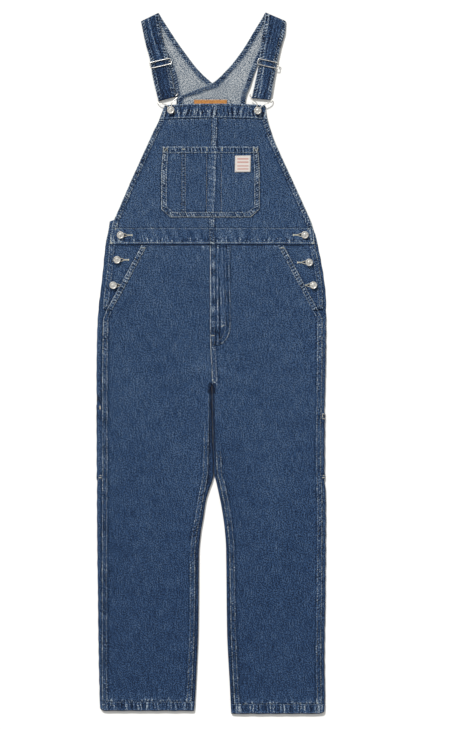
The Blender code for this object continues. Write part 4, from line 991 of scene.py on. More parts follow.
threads = []
for side, _ in SIDES:
    for height, worn in zip(WAIST_ROWS, (0.5, 0.0)):
        first, last = centre_x(height) + side * 1.5, edge_x(side, height) - side * 1.5
        across = np.linspace(first, last, 60)
        threads.append(stitched(np.stack([across, height + 0.35 * ripple(across, 45, 101)], -1), worn))
    threads += [edge_row(edge_x, side, inside, WAIST_TOP - 3, WAIST_SEAM + 2, 0.6) for inside in STITCH_IN]
    edge = edge_x(side, 281)
    threads += [tacked(edge - side * 4, 281, 0, 6), tacked(edge - side * 3, 286, 90, 7, 1.8)]
    knot = edge_x(side, 317) - side * 8
    threads += [tacked(knot, 320, 10, 6, 2.2), tacked(knot - side * 2, 316, 60, 6, 2.0)]
for inside, worn in zip(STITCH_IN, (0.3, 0.7)):
    threads.append(centre_row(inside, WAIST_TOP - 1, WAIST_SEAM + 1, worn))
rows = sew("waistband_stitches", threads, list(waistbands.values()))
lay(waistbands[LEFT], [rows])
lay(waistbands[RIGHT])

# The back's own corner stands out past the bib
BACK_CORNER = table("y x", ((335.5, -229.5), (332.3, -238.1), (319.4, -239.9), (306.0, -242.2)))
BACK_WAIST_TOP = BACK_CORNER[0].y
y = np.vstack([[[BACK_WAIST_TOP]], down(BACK_CORNER[1].y, WAIST_SEAM, 2.5)])
heights, places = np.array(BACK_CORNER[::-1]).T
right = np.where(y > heights[0], np.interp(y, heights, places), outer_x(RIGHT, y))
left = outer_x(LEFT, y) - 1.0 * (y > heights[0])
x = panel_x(right, left, 24)
from_end = np.minimum(x - right, left - x)
z = WAIST_WALL + 0.1 * (1 + ripple(y, 9, 103)) * bell(from_end, 5, 4)
wash = washed(x, y) - 0.1 + 0.3 * bell(from_end, 1.0, 1.2) + 0.1 * bell(y, BACK_WAIST_TOP - 1, 1.5)
wash += 0.3 * ripple(y + x, 7, 103) * bell(from_end, 5, 6)
back_waist = cloth("waistband_back_cloth", (x, y, z), wash, WAIST_WALL)
lay(back_waist)


# Bib
# Two panels felled together down the centre, with turned side edges and a broad turned band
# across the top. All of them are stitched twice, and washing has roped the turned cloth.

BIB_TOP, BAND_FOOT = 607.5, 573.5
BAND_SAG, BAND_MIDDLE, BAND_HALF, SAG_START = 3.5, 9.0, 118.0, 540.0
BAND_ROWS = (603.2, 577.0)


def band_sag(x):
    """How far the bib's top edge dips towards its corners."""
    return -BAND_SAG * ((x - BAND_MIDDLE) / BAND_HALF) ** 2


POCKET_TOP, POCKET_FOOT, POCKET_HEM = 507.5, 341.5, 16.0
POCKET_RIGHT, POCKET_LEFT, POCKET_TAPER = -117.5, 113.0, 3.5
POCKET_CORNER_X, POCKET_CORNER_Y = 21.5, 19.0


def pocket_inside(x, y):
    """How far inside the pocket's sewn edge a place is, and how far along it."""
    taper = POCKET_TAPER * ramp(y, 440.0, POCKET_TOP)
    from_side = np.minimum(x - POCKET_RIGHT - taper, POCKET_LEFT - taper - x)
    from_foot = y - POCKET_FOOT
    slope = np.hypot(POCKET_CORNER_X, POCKET_CORNER_Y)
    from_corner = from_side * POCKET_CORNER_Y + (from_foot - POCKET_CORNER_Y) * POCKET_CORNER_X
    inside = np.minimum(np.minimum(from_side, from_foot), from_corner / slope)
    return inside, np.where(from_foot < from_side, x, y)


def bib_face(x, y):
    """(height of the outer face, fading and painted shade) of the bib's cloth, seams and turned edges
    included.
    """
    side = np.where(x > centre_x(y), LEFT, RIGHT)
    from_centre = x - centre_x(y)
    seam_rise, seam_tone = felled(from_centre, y, 45 + LEFT, pitch=LEG_ROPE, fade=0.26, light=0.3)
    seam_tone = seam_tone + (0.13 + 0.3 * ripple(x + 0.05 * y, 4.5, 110)) * ramp(12.5 - from_centre, 0, 1)
    # Painted shade just past the centre seam's proud layers
    seam_tone = seam_tone - 0.26 * bell(from_centre, SEAM_WIDTH + 1.4, 1.2)
    on_seam = from_centre > 0
    inside = np.where(side == LEFT, edge_x(LEFT, y) - x, x - edge_x(RIGHT, y))
    edge_rise, edge_tone = felled(inside, y, 111 + side[0, 0], pitch=6.0, fade=0.55, light=0.6)
    z = front_height(x, y) + WALL + np.maximum(seam_rise * on_seam, 0) + edge_rise
    puckers = ripple(x, 11, 113) * trail(BAND_FOOT - y, 8)
    teeth = np.maximum(ripple(x + 0.2 * y, 5, 114), 0) * trail(BAND_FOOT - y, 3)
    low = ripple(x + 0.5 * y, 13, 115) * trail(y - WAIST_TOP, 13)
    wash = washed(x, y) + seam_tone * on_seam + edge_tone + 0.2 * puckers + 0.5 * teeth + 0.1 * low
    # Painted shadow on the bib round the pocket's sewn edge, and painted shade beside the centre seam
    pocket_shadow = ramp(pocket_inside(x, y)[0], -2.8, -0.4) * (1 - ramp(y, POCKET_TOP - 1, POCKET_TOP + 2))
    wash = wash - 0.25 * bell(from_centre, -0.8, 1.4) - 0.42 * pocket_shadow
    return z + 0.25 * puckers + 0.2 * low, wash


bib = {}
for side, word in SIDES:
    y = down(BAND_FOOT - SEAM_GAP, WAIST_TOP, 2.4)
    start = centre_x(y) + side * SEAM_GAP / 2
    edge = edge_x(side, y)
    end = edge - side * (SEAM_WIDTH + SEAM_GAP)
    sag_share = ramp(y, SAG_START, BAND_FOOT)
    for part, x, wall in (
        ("", panel_x(start, end, 40, end_columns=np.array([0.0, 0.8, 2.0, 3.6, 6.0, 9.5, 14.0])), WALL),
        ("_edge", edge + (end - edge) * np.linspace(0, 0.97, 16), HEM_WALL),
    ):
        z, wash = bib_face(x, y)
        place = x, y + band_sag(x) * sag_share, z
        bib[side, part] = cloth(f"bib{part}_{word}_cloth", place, wash, wall)

y = down(BIB_TOP, BAND_FOOT, 1.3)
right, left = edge_x(RIGHT, y), edge_x(LEFT, y)
x = panel_x(right, left, 76)
lean = 0.35 * ripple(x, 60, 117)
rope = ripple(x + lean * (y - BAND_FOOT), 10.0, 119)
fine = ripple(x - 0.2 * y, 5, 121)
from_end = np.minimum(x - right, left - x)
body = bell(y, 588, 10.0)
top_rope = ripple(x + 0.6 * y, 7, 123)
from_centre = x - centre_x(y)
ridge = banded(from_centre, 0, 1.2, SEAM_WIDTH, SEAM_WIDTH + 1.2)
z = front_height(x, y) + HEM_WALL + 0.34 * rope * body + 0.3 * ridge
z -= 0.22 * grooved(y, BAND_ROWS) + 0.15 * (1 - top_rope) * bell(y, 603, 3)
z -= 0.9 * rolled(BIB_TOP - y, 1.8) + 0.8 * rolled(from_end, 1.8)
wash = washed(x, y) + (0.9 * rope + 0.55 * fine - 0.1) * body + 0.8 * top_rope * bell(y, 603, 2.6)
wash += 0.36 * bell(y, BIB_TOP - 0.8, 1.2) - 0.2 * bell(y, 603, 2.0)
# Painted shade along the band's lower edge
wash += 0.24 * bell(y, BAND_ROWS[1], 1.5) * (1 + ripple(x, 9, 125)) - 0.3 * bell(y, BAND_FOOT, 1.3)
# Painted shade beside the centre seam's lap
wash += 0.4 * ridge * (0.3 + ripple(x + 0.1 * y, 4.5, 127)) - 0.25 * bell(from_centre, -0.8, 1.4)
wash += 0.2 * bell(from_end, 3, 4) * (1 + ripple(y, 8, 129))
wash += (0.12 + 0.2 * ripple(x - 0.5 * y, 9, 130)) * ramp(x, 8, 20) * body
band = cloth("bib_band_cloth", (x, y + band_sag(x), z), wash, HEM_WALL)

threads = []
for side, _ in SIDES:
    for inside in STITCH_IN:
        threads.append(edge_row(edge_x, side, inside, BAND_FOOT - 3.5, WAIST_TOP + 3, STITCH_WORN))
for height, worn in zip(BAND_ROWS, (0.6, 0.35)):
    across = np.linspace(edge_x(RIGHT, height) + 2, edge_x(LEFT, height) - 2, 80)
    line = np.stack([across, height + band_sag(across) + 0.3 * ripple(across, 40, 131)], -1)
    threads.append(stitched(line, worn))
for inside in STITCH_IN:
    threads.append(centre_row(inside, BAND_FOOT - 2.5, POCKET_TOP + 1.5, 0.8))
    threads.append(centre_row(inside, POCKET_FOOT - 1.5, WAIST_TOP + 2, 0.6))
rows = sew("bib_stitches", threads, [band, *bib.values()])
for (side, part), piece in bib.items():
    lay(piece, [rows] if (side, part) == (LEFT, "") else [])
lay(band)


# Bib pocket
# One patch with its lower corners cut off, stitched on twice round and divided by more rows. Its
# top is turned down, and bar tacks hold the corners.

POCKET_DIVIDERS = (-69.0, -61.5, -11.2, 22.8)


def pocket_sides(y):
    taper = POCKET_TAPER * ramp(y, 440.0, POCKET_TOP)
    corner = POCKET_CORNER_X * np.maximum(POCKET_FOOT + POCKET_CORNER_Y - y, 0) / POCKET_CORNER_Y
    return POCKET_RIGHT + taper + corner, POCKET_LEFT - taper - corner


def pocket_face(x, y):
    """(height of the outer face, fading and painted shade) of the pocket."""
    under, _ = bib_face(x, y)
    inside, along = pocket_inside(x, y)
    rise, tone = felled(inside, along, 141, rise=0.0, pitch=5.5, fade=0.66, light=0.8)
    from_centre = x - centre_x(y)
    ridge = banded(from_centre, -6.5, -5.0, SEAM_WIDTH - 1, SEAM_WIDTH + 0.2)
    streaks = ripple(x + 0.05 * y, 4.5, 145) * (0.6 + 0.4 * ripple(y, 40, 146))
    blots = ripple(y + 0.3 * x, 13, 142)
    wash = washed(x, y) + tone + 0.03 * ripple(x, 8, 143)
    wash += ridge * (0.07 + 0.26 * streaks + 0.12 * blots) + 0.2 * bell(from_centre, SEAM_WIDTH - 2.6, 2.0)
    # Painted shade along both sides of the ridge that the centre seam raises under the pocket
    wash -= 0.2 * bell(from_centre, -8.2, 1.5) + 0.24 * bell(from_centre, SEAM_WIDTH + 1.2, 1.3)
    below_hem = y < POCKET_TOP - POCKET_HEM
    groove = 0.0
    for divider in POCKET_DIVIDERS:
        groove = groove + bell(x, divider - 1.2, 1.3) * below_hem
    ladder = bell(x, -65.2, 2.2) * below_hem * ripple(y, 7.5, 147)
    wash += 0.6 * ladder - 0.26 * groove + 0.16 * bell(y, POCKET_TOP - POCKET_HEM, 12) * ripple(x, 8, 149)
    z = under + GAP + WALL + rise - 0.25 * groove + 0.15 * ladder
    return z - 0.3 * np.clip(1 - inside / 1.5, 0, 1), wash


hem_foot = POCKET_TOP - POCKET_HEM
pockets = {}
for name, top, foot, wall in (
    ("bib_pocket", hem_foot - SEAM_GAP, POCKET_FOOT, WALL),
    ("bib_pocket_hem", POCKET_TOP, hem_foot, WAIST_WALL),
):
    y = down(top, foot, 1.3)
    if wall == WALL:
        y = np.vstack([down(top, foot + 17.5, 2.0)[:-1], foot + EDGE_COLUMNS[-3::-1, None]])
    x = panel_x(*pocket_sides(y), 110)
    z, wash = pocket_face(x, y)
    z = z + wall - WALL
    if name == "bib_pocket_hem":
        rope, fine = ripple(x + 0.3 * y, 7.5, 151), ripple(x, 4.5, 153)
        middle = bell(y, POCKET_TOP - POCKET_HEM / 2, 5.0)
        z += 0.25 * rope * middle - 0.8 * rolled(POCKET_TOP - y, 1.6)
        z -= 0.3 * np.clip(1 - (y - hem_foot) / 1.2, 0, 1)
        wash += (0.6 * rope + 0.3 * fine - 0.1) * middle + 0.35 * bell(y, POCKET_TOP - 0.8, 1.2)
        wash += 0.25 * bell(y, hem_foot + 1.5, 1.4)
    else:
        # Painted shadow under the pocket hem's lower edge
        wash -= 0.35 * trail(hem_foot - y, 1.8)
        wash += 0.5 * np.maximum(ripple(x + 0.2 * y, 5, 154), 0) * trail(hem_foot - y, 3.5)
    pockets[name] = cloth(f"{name}_cloth", (x, y, z), wash, wall)

threads = []
for inset, worn in ((1.8, 0.05), (11.8, 0.35)):
    cut = inset * 0.42
    right, left, foot = POCKET_RIGHT + inset, POCKET_LEFT - inset, POCKET_FOOT + inset
    outline = [
        (right + POCKET_TAPER, POCKET_TOP - 3),
        (right, 440.0),
        (right, foot + POCKET_CORNER_Y - cut),
        (right + POCKET_CORNER_X - cut, foot),
        (left - POCKET_CORNER_X + cut, foot),
        (left, foot + POCKET_CORNER_Y - cut),
        (left, 440.0),
        (left - POCKET_TAPER, POCKET_TOP - 3),
    ]
    threads.append(stitched(outline, worn))
for height in (POCKET_TOP - 2.6, hem_foot + 2.2):
    threads.append(stitched([(POCKET_RIGHT + 6, height), (POCKET_LEFT - 6, height)], 0.3))
for divider in POCKET_DIVIDERS:
    threads.append(stitched([(divider, hem_foot - 1), (divider, POCKET_FOOT + 12)], 0.0))
for side_x, lean in ((POCKET_RIGHT + 10, 1), (POCKET_LEFT - 10, -1)):
    for offset, degrees in ((-4.0, 90), (0.0, 90 - 35 * lean), (4.0, 90)):
        threads.append(tacked(side_x + offset, POCKET_TOP - 8, degrees, 11, 1.5))
for x, degrees in ((-65.2, 0), (-10.8, 90), (24.6, 90)):
    threads.append(tacked(x, POCKET_TOP - 6.5, degrees, 9))
rows = sew("bib_pocket_stitches", threads, list(pockets.values()))
lay(pockets["bib_pocket"], [rows])
lay(pockets["bib_pocket_hem"])

# The pocket's woven label: white, with plain red bars and no words
LABEL_X, LABEL_Y = (54.5, 91.0), (447.0, 485.5)
LABEL_BARS = (0.0, 0.16, 0.24, 0.34, 0.42, 0.56, 0.66, 0.76, 0.86)  # where each bar starts and ends
BAR_MIDDLE, BAR_HALF = 0.52, 0.36
LABEL_DYES = ((0.0, 222, 214, 207), (1.0, 184, 100, 88))
y = down(LABEL_Y[1], LABEL_Y[0], 1.5)
x = np.linspace(*LABEL_X, 27)[None, :] + 0.02 * (y - LABEL_Y[0])
y = y + 0.6 * (x - LABEL_X[0]) / 36.0
z = pocket_face(x, y)[0] + GAP + TRIM_WALL
rim = np.minimum(np.minimum(x - x.min(), x.max() - x), np.minimum(y - y.min(), y.max() - y))
z -= 0.35 * np.clip(1 - rim / 2.0, 0, 1)
woven, tree, shader = finish("woven_label", Roughness=0.85)
woven_uv = coordinate(tree, "UV")
woven_at = put(tree, "ShaderNodeSeparateXYZ", in_0=woven_uv).outputs
across_label, up_label = (
    put(tree, "ShaderNodeMapRange", in_0=woven_at[axis], in_1=span[0] * MM, in_2=span[1] * MM).outputs[0]
    for axis, span in enumerate((LABEL_X, LABEL_Y))
)
bars = put(tree, "ShaderNodeValToRGB", in_0=up_label)
bars.color_ramp.interpolation = "CONSTANT"
while len(bars.color_ramp.elements) < len(LABEL_BARS):
    bars.color_ramp.elements.new(0.5)
for i, (stop, position) in enumerate(zip(bars.color_ramp.elements, LABEL_BARS)):
    stop.position, stop.color = position, (i % 2, i % 2, i % 2, 1.0)
from_middle = reckon(tree, "ABSOLUTE", reckon(tree, "SUBTRACT", across_label, BAR_MIDDLE), 0)
within = reckon(tree, "LESS_THAN", from_middle, BAR_HALF)
weave = cloth_noise(tree, woven_uv, 0.8, 0.8, 1.0)
ink = times(tree, bars.outputs[0], within, plus(tree, times(tree, weave, 1.6), 0.62))
surfaced(tree, shader, dyed(tree, ink, LABEL_DYES), weave, 0.7, 0.1)
label = cloth("front_label_cloth", (x, y, z), 0.0, TRIM_WALL, (woven,))
edge = 1.6
right, left, foot, top = LABEL_X[0] + edge, LABEL_X[1] - edge, LABEL_Y[0] + edge, LABEL_Y[1] - edge
outline = [(right, foot), (left, foot), (left, top), (right, top), (right, foot)]
lay(label, [sew("label_stitches", [stitched(outline)], [label])])


# Upper back and wings
# The back's yoke ends in two long wings that cross behind the neck and become the straps. They
# show their grey wrong side, and their edges are turned over to the blue.

WING_FOOT, WING_WALL, TURNED_RISE, TURNED_WIDTH = 552.0, 1.0, 0.8, 11.5
UNBLEACHED = (
    (0.0, 58, 73, 92), (0.3, 109, 124, 139), (0.5, 138, 150, 161), (0.75, 176, 182, 186),
    (1.0, 212, 213, 212),
)
WRONG_SIDE = twill_finish("denim_wrong_side", UNBLEACHED, (0.9, 3.0, 0.25), 0.03)
UPPER_BACK_ROWS = table("y right left", (
    (551.5, -82.0, 78.5), (500, -92.0, 92.0), (440, -128.0, 134.0), (385, -172.0, 176.0),
    (335.9, -212.0, 208.0),
))
WING = "neck_x neck_y arm_x arm_y height"
WING_ROWS = {
    RIGHT: table(WING, (
        (-124.0, 820.5, -165.1, 800.5, 0.0), (-96.6, 776.9, -139.2, 762.0, 0.0),
        (-64.6, 730.1, -109.0, 715.5, 0.0), (-27.8, 683.3, -93.0, 676.0, 0.0),
        (-1.5, 659.0, -86.6, 644.7, 0.0), (36.0, 630.0, -83.4, 626.0, 0.0),
        (76.0, 610.0, -82.0, 609.6, 0.0), (77.0, WING_FOOT, -82.0, WING_FOOT, 0.0),
    )),
    LEFT: table(WING, (
        (126.2, 821.3, 173.8, 801.0, 0.0), (102.0, 781.0, 146.0, 766.0, 0.0),
        (67.0, 725.0, 118.5, 720.7, 0.0), (36.5, 687.5, 103.0, 684.5, 0.9),
        (0.0, 654.5, 89.7, 647.0, 2.2), (-41.4, 638.5, 82.3, 628.3, 2.2),
        (-78.0, 617.0, 79.3, 611.9, 2.2), (-79.5, WING_FOOT, 78.5, WING_FOOT, 2.2),
    )),
}
WING_CREASES = table(FOLD, (
    (-64, 634, 100, 16, 3.0, 0.5), (-80, 690, 62, 26, 5.0, 0.4), (78, 678, 112, 30, 5.0, 0.4),
    (50, 650, 60, 16, 4.0, 0.35),
))
WING_COLUMNS = np.array([0.0, 0.7, 1.6, 2.6, 4.0, 5.5, 7.0, 8.4, 9.7, 10.9, 11.6, 12.4, 13.4, 15.0])

# The straps' edges on the front, from the shoulder fold down to the buckle
STRAP = "part neck_x neck_y arm_x arm_y"
STRAP_ROWS = {
    RIGHT: table(STRAP, (
        (0.0, -124.0, 820.5, -165.1, 800.5), (0.25, -116.0, 769.0, -155.0, 751.2),
        (0.53, -99.9, 711.4, -142.3, 702.0), (0.67, -95.0, 685.2, -138.6, 675.4),
        (1.0, -83.1, 623.6, -124.0, 613.1),
    )),
    LEFT: table(STRAP, (
        (0.0, 126.2, 821.3, 173.8, 801.0), (0.13, 123.0, 793.0, 172.3, 776.0),
        (0.25, 119.0, 769.0, 166.0, 753.0), (0.39, 115.0, 740.0, 158.8, 727.0),
        (0.53, 112.0, 711.5, 153.0, 701.5), (1.0, 94.1, 620.3, 138.1, 615.9),
    )),
}
STRAP_LENGTH, STRAP_TAIL = 193.0, 3.0  # down from the fold, and back under it to the wing


def strap_point(side, along, share):
    """Where a strap is, this far down from its shoulder fold and this share of its width out."""
    part = along / STRAP_LENGTH
    neck_x, neck_y, arm_x, arm_y = (
        smooth(STRAP_ROWS[side], column, part, "part") for column in STRAP.split()[1:]
    )
    return neck_x + (arm_x - neck_x) * share, neck_y + (arm_y - neck_y) * share


def wing_edge(side, part, column):
    """The column of the wing's table, this share of the way down."""
    rows = WING_ROWS[side]
    places = [(i / (len(rows) - 1), getattr(row, column)) for i, row in enumerate(rows)]
    return smooth(table("part value", places), "value", part, "part")


def slant(edge_x, edge_y, way_x, way_y):
    """How much longer than square across a hem the rows' own way over it is."""
    run_x, run_y = np.gradient(edge_x[:, 0])[:, None], np.gradient(edge_y[:, 0])[:, None]
    square = abs(run_x * way_y - run_y * way_x) / np.hypot(run_x, run_y)
    longer = np.minimum(1 / square, 3.2)
    for _ in range(3):
        longer[1:-1] = (longer[:-2] + 2 * longer[1:-1] + longer[2:]) / 4
    return longer


wings = {}
for side, word in SIDES:
    part = np.linspace(0, 1, 220)[:, None]
    neck_x, neck_y, arm_x, arm_y, height = (wing_edge(side, part, column) for column in WING.split())
    for share, x_of, y_of in ((0.0, neck_x, neck_y), (1.0, arm_x, arm_y)):
        x_of[0], y_of[0] = strap_point(side, np.array([STRAP_TAIL + SEAM_GAP]), share)
    width = np.hypot(arm_x - neck_x, arm_y - neck_y)
    way_x, way_y = (arm_x - neck_x) / width, (arm_y - neck_y) / width
    by_neck, by_arm = slant(neck_x, neck_y, way_x, way_y), slant(arm_x, arm_y, way_x, way_y)
    across = panel_x(0 * width, width, 24, WING_COLUMNS * by_neck, WING_COLUMNS * by_arm)
    x = neck_x + way_x * across
    y = neck_y + way_y * across
    inside = np.minimum(across / by_neck, (width - across) / by_arm)
    run = np.hypot(np.gradient(neck_x[:, 0]), np.gradient(neck_y[:, 0])).cumsum()[:, None]
    rise, tone = felled(inside, run, 161 + side, TURNED_WIDTH, TURNED_RISE, 6.6, fade=0.6, light=0.6)
    z = height + WING_WALL + rise + fold_rise(x, y, WING_CREASES)
    columns = (WING_COLUMNS[1:] + WING_COLUMNS[:-1]) / 2 < TURNED_WIDTH
    turned = np.concatenate([columns, np.zeros(across.shape[1] - 2 * len(columns) - 1, bool), columns[::-1]])
    on_hem = inside < TURNED_WIDTH + 0.2
    grey = 0.49 + 0.04 * cloudy(x, y, 60, 163) + 0.2 * fold_rise(x, y, WING_CREASES)
    # Painted shade on the grey beside the turned hem's raised edge
    grey -= 0.4 * trail(inside - TURNED_WIDTH, 1.4) * (inside > TURNED_WIDTH - 0.3)
    grey += 0.08 * ripple(run, 9, 165) * trail(inside, 16)
    wash = np.where(on_hem, washed(x, y) + tone, grey)
    sides, of = (WRONG_SIDE, DENIM), turned.astype(np.int32)
    wings[side] = cloth(f"back_wing_{word}_cloth", (x, y, z), wash, WING_WALL, sides, of, "rows")
    threads = []
    for inset in (2.2, TURNED_WIDTH - 2.0):
        for start_x, start_y, way in ((neck_x, neck_y, by_neck), (arm_x, arm_y, -by_arm)):
            line = np.hstack([start_x + way_x * way * inset, start_y + way_y * way * inset])
            threads.append(stitched(line[line[:, 1] > WING_FOOT + 3], 0.6))
    rows = sew(f"wing_stitches_{word}", threads, [wings[side]])
    lay(wings[side], [rows])

y = down(UPPER_BACK_ROWS[0].y, UPPER_BACK_ROWS[-1].y, 8.0)
right, left = smooth(UPPER_BACK_ROWS, "right", y), smooth(UPPER_BACK_ROWS, "left", y)
x = right + (left - right) * np.linspace(0, 1, 40)
upper_back = cloth("upper_back_cloth", (x, y, WING_WALL), 0.5, WING_WALL, (WRONG_SIDE,))
lay(upper_back)


# Neck facing and size patch
# A round-cornered facing backs the place where the wings cross. A tan patch, left blank, is sewn
# on it just above the bib.

WING_TOP = WING_ROWS[LEFT][-1].height + WING_WALL
PATCH_X, PATCH_Y, PATCH_CORNER = (-46.0, 45.0), (590.0, 620.5), 9.0
TAN_X, TAN_Y = (-41.0, 36.5), (590.0, 616.5)
TANS = ((0.3, 150, 94, 40), (0.7, 214, 148, 66))

round_from = PATCH_Y[1] - PATCH_CORNER
y = np.vstack([down(PATCH_Y[1], round_from, 0.8), down(round_from - 1.5, PATCH_Y[0], 1.6)])
drop = np.clip(y - round_from, 0, PATCH_CORNER)
inset = PATCH_CORNER - np.sqrt(PATCH_CORNER**2 - drop**2)
x = PATCH_X[0] + inset + (PATCH_X[1] - PATCH_X[0] - 2 * inset) * np.linspace(0, 1, 60)
corner_x = np.maximum(abs(x - sum(PATCH_X) / 2) - (PATCH_X[1] - PATCH_X[0]) / 2 + PATCH_CORNER, 0)
corner_y = np.maximum(y - PATCH_Y[1] + PATCH_CORNER, 0)
rim = PATCH_CORNER - np.hypot(corner_x, corner_y)
z = WING_TOP + GAP + TRIM_WALL - 0.5 * rolled(rim, 1.4) + 0.1 * ripple(x + y, 6, 171)
wash = 0.5 - 0.45 * bell(rim, 0.6, 1.1) + 0.08 * ripple(x + y, 6, 171) * bell(rim, 2.0, 3.0)
facing = cloth("neck_patch_cloth", (x, y, z), wash, TRIM_WALL, (WRONG_SIDE,))
arc = np.linspace(0, pi / 2, 8)
round_x, round_y = (PATCH_CORNER - 2.2) * np.cos(arc), (PATCH_CORNER - 2.2) * np.sin(arc)
line = [(PATCH_X[1] - PATCH_CORNER + a, round_from + b) for a, b in zip(round_x, round_y)]
line += [(PATCH_X[0] + PATCH_CORNER - a, round_from + b) for a, b in zip(round_x[::-1], round_y[::-1])]
lay(facing, [sew("facing_stitches", [stitched(line)], [facing])])

tan, tree, shader = finish("tan_patch", Roughness=0.6)
grain = put(tree, "ShaderNodeTexNoise", in_0=coordinate(tree, "Object"), in_2=420.0, in_3=4.0).outputs[0]
surfaced(tree, shader, dyed(tree, grain, TANS), grain, 0.5, 0.15)
y = down(TAN_Y[1], TAN_Y[0], 1.2)
x = np.linspace(*TAN_X, 50)
rim = np.minimum(np.minimum(x - TAN_X[0], TAN_X[1] - x), TAN_Y[1] - y)
z = WING_TOP + 2 * (GAP + TRIM_WALL) - 0.4 * rolled(rim, 1.4)
patch = cloth("neck_label_cloth", (x, y, z), 0.0, TRIM_WALL, (tan,))
edge = 1.7
right, left, top = TAN_X[0] + edge, TAN_X[1] - edge, TAN_Y[1] - edge
line = [(right, TAN_Y[0]), (right, top), (left, top), (left, TAN_Y[0])]
lay(patch, [sew("patch_stitches", [stitched(line)], [patch])])


# Straps
# Each strap is the end of a wing, folded over at the shoulder. It runs down to its buckle, round
# the buckle's bar and back up to the slider. Its long edges are turned in and stitched twice.

STRAP_WALL, STRAP_WIDE, STRAP_RISE = 1.3, 41.0, 0.35
STRAP_TURN = 2.2  # how round the strap turns over at the shoulder
STRAP_FOOT, STRAP_BACK = 190.2, 121.0  # where its loop starts, and where its end comes back to
LOOP_LONG, LOOP_RISE, LOOP_MIDDLE = 2.8, 2.65, 3.85  # its turn round the buckle's bar
STRAP_OVER = table("along height", (
    (2.2, 4.4), (25.0, 4.6), (60.0, 5.0), (95.0, 6.1), (112.0, 6.3), (132.0, 6.1), (165.0, 6.3),
    (190.2, 6.5),
))
STRAP_UNDER = table("along height", ((121.0, 2.2), (140.0, 2.1), (165.0, 1.5), (190.2, 1.2)))
STRAP_STRIPE = 8.6  # the turned edge's width
# How far down each strap's crease runs, and where across the strap it starts and ends
STRAP_CREASE = {RIGHT: (120, 0.62, 0.42), LEFT: (225, 0.16, 0.42)}

straps = {}
for side, word in SIDES:
    bend = np.linspace(-pi / 2, pi / 2, 9)
    over = np.linspace(STRAP_TURN, STRAP_FOOT, 126)[1:-1]
    under = np.linspace(STRAP_FOOT, STRAP_BACK, 26)[1:]
    shoulder, loop = STRAP_TURN * (1 - np.cos(bend)), STRAP_FOOT + LOOP_LONG * np.cos(bend)
    along = np.concatenate([[STRAP_TAIL], shoulder, over, loop, under])[:, None]
    height = np.concatenate([
        [0.0],
        STRAP_TURN * (1 + np.sin(bend)),
        smooth(STRAP_OVER, "height", over, "along"),
        LOOP_MIDDLE - LOOP_RISE * np.sin(bend),
        smooth(STRAP_UNDER, "height", under, "along"),
    ])[:, None]
    ends = [np.stack(strap_point(side, along, share), -1) for share in (0.0, 1.0)]
    width = np.linalg.norm(ends[1] - ends[0], axis=2)
    across = panel_x(0 * width, width, 9, WING_COLUMNS[:-1], WING_COLUMNS[:-1])
    x, y = strap_point(side, along, across / width)
    inside = np.minimum(across, width - across)
    rise, tone = felled(inside, along, 181 + side, STRAP_STRIPE, STRAP_RISE, 6.6, fade=0.68, light=0.6)
    upper = len(bend) + len(over) + 4  # the points as far as the start of the loop
    face_up = (np.arange(len(along)) < upper)[:, None] * ramp(height, 2.5, 4.2)
    reach, start_share, end_share = STRAP_CREASE[side]
    crease_at = width * (start_share + (end_share - start_share) * along / reach)
    crease = bell(across, crease_at, 2.2) * (1 - ramp(along, reach - 40, reach + 5))
    z = height + face_up * (rise - STRAP_RISE + 0.4 * crease)
    wash = washed(x, y) + 0.05 * side - 0.05 + tone - 0.12 * (inside > STRAP_STRIPE + 1.5) + 0.45 * crease
    wash += (0.22 + 0.07 * side) * ripple(across + 0.1 * along, 8, 183 + side) + 0.1 * bell(along, 1, 4)
    # Painted shade where the strap lies low: its stretch under the loop and the lower halves of its turns
    wash -= 0.3 * (1 - ramp(height, 2.6, 3.8))
    straps[side] = cloth(f"strap_{word}_cloth", (x, y, z), wash, STRAP_WALL, warp="rows")
    threads = []
    run = np.linspace(4, 189, 60)
    for inset in (1.8, STRAP_STRIPE - 1.5):
        for share in (inset / STRAP_WIDE, 1 - inset / STRAP_WIDE):
            threads.append(stitched(np.stack(strap_point(side, run, share), -1), 0.55))
    rows = sew(f"strap_stitches_{word}", threads, [straps[side]])
    lay(straps[side], [rows])


# Sliders and buckles
# Bent nickel-plated wire. Each slider grips the strap between its bar and its frame. Each buckle
# hangs by its bar in the strap's loop, and its eye holds the bib button's shank.

WIRE = 2.2
SLIDER_MIDDLE = {RIGHT: (-118.8, 701.8), LEFT: (132.6, 700.8)}
SLIDER_DEGREES = {RIGHT: 12.6, LEFT: -12.6}
SLIDER_HALF, SLIDER_DEPTH, SLIDER_BEND = 24.8, 6.8, 1.8
SLIDER_OVER, SLIDER_UNDER = 7.8, 3.3  # the heights of its frame and of its bar under the strap

# The buckle's wire: across and down from the strap's end, and its share of the way up from the
# bar's height to the eye's
BUCKLE_ROUTE = (
    (-25.0, -8.5, 0.3), (-25.6, -5.4, 0.1), (-23.8, -3.0, 0.0), (-19.0, -3.0, 0.0), (0.0, -3.0, 0.0),
    (19.0, -3.0, 0.0), (22.8, -3.0, 0.0), (24.4, -1.0, 0.1), (23.8, 1.8, 0.35), (21.2, 4.8, 0.65),
    (14.5, 8.0, 0.95), (7.6, 11.6, 1.0), (5.0, 16.0, 1.0), (4.4, 20.5, 1.0), (6.0, 24.6, 1.0),
    (6.4, 28.6, 1.0), (4.4, 32.6, 1.0), (0.0, 34.2, 1.0), (-4.4, 32.6, 1.0), (-6.4, 28.6, 1.0),
    (-6.0, 24.6, 1.0), (-4.4, 20.5, 1.0), (-5.0, 16.0, 1.0), (-7.6, 11.6, 1.0), (-14.5, 8.0, 0.95),
    (-20.4, 5.0, 0.75), (-23.0, 2.6, 0.6),
)
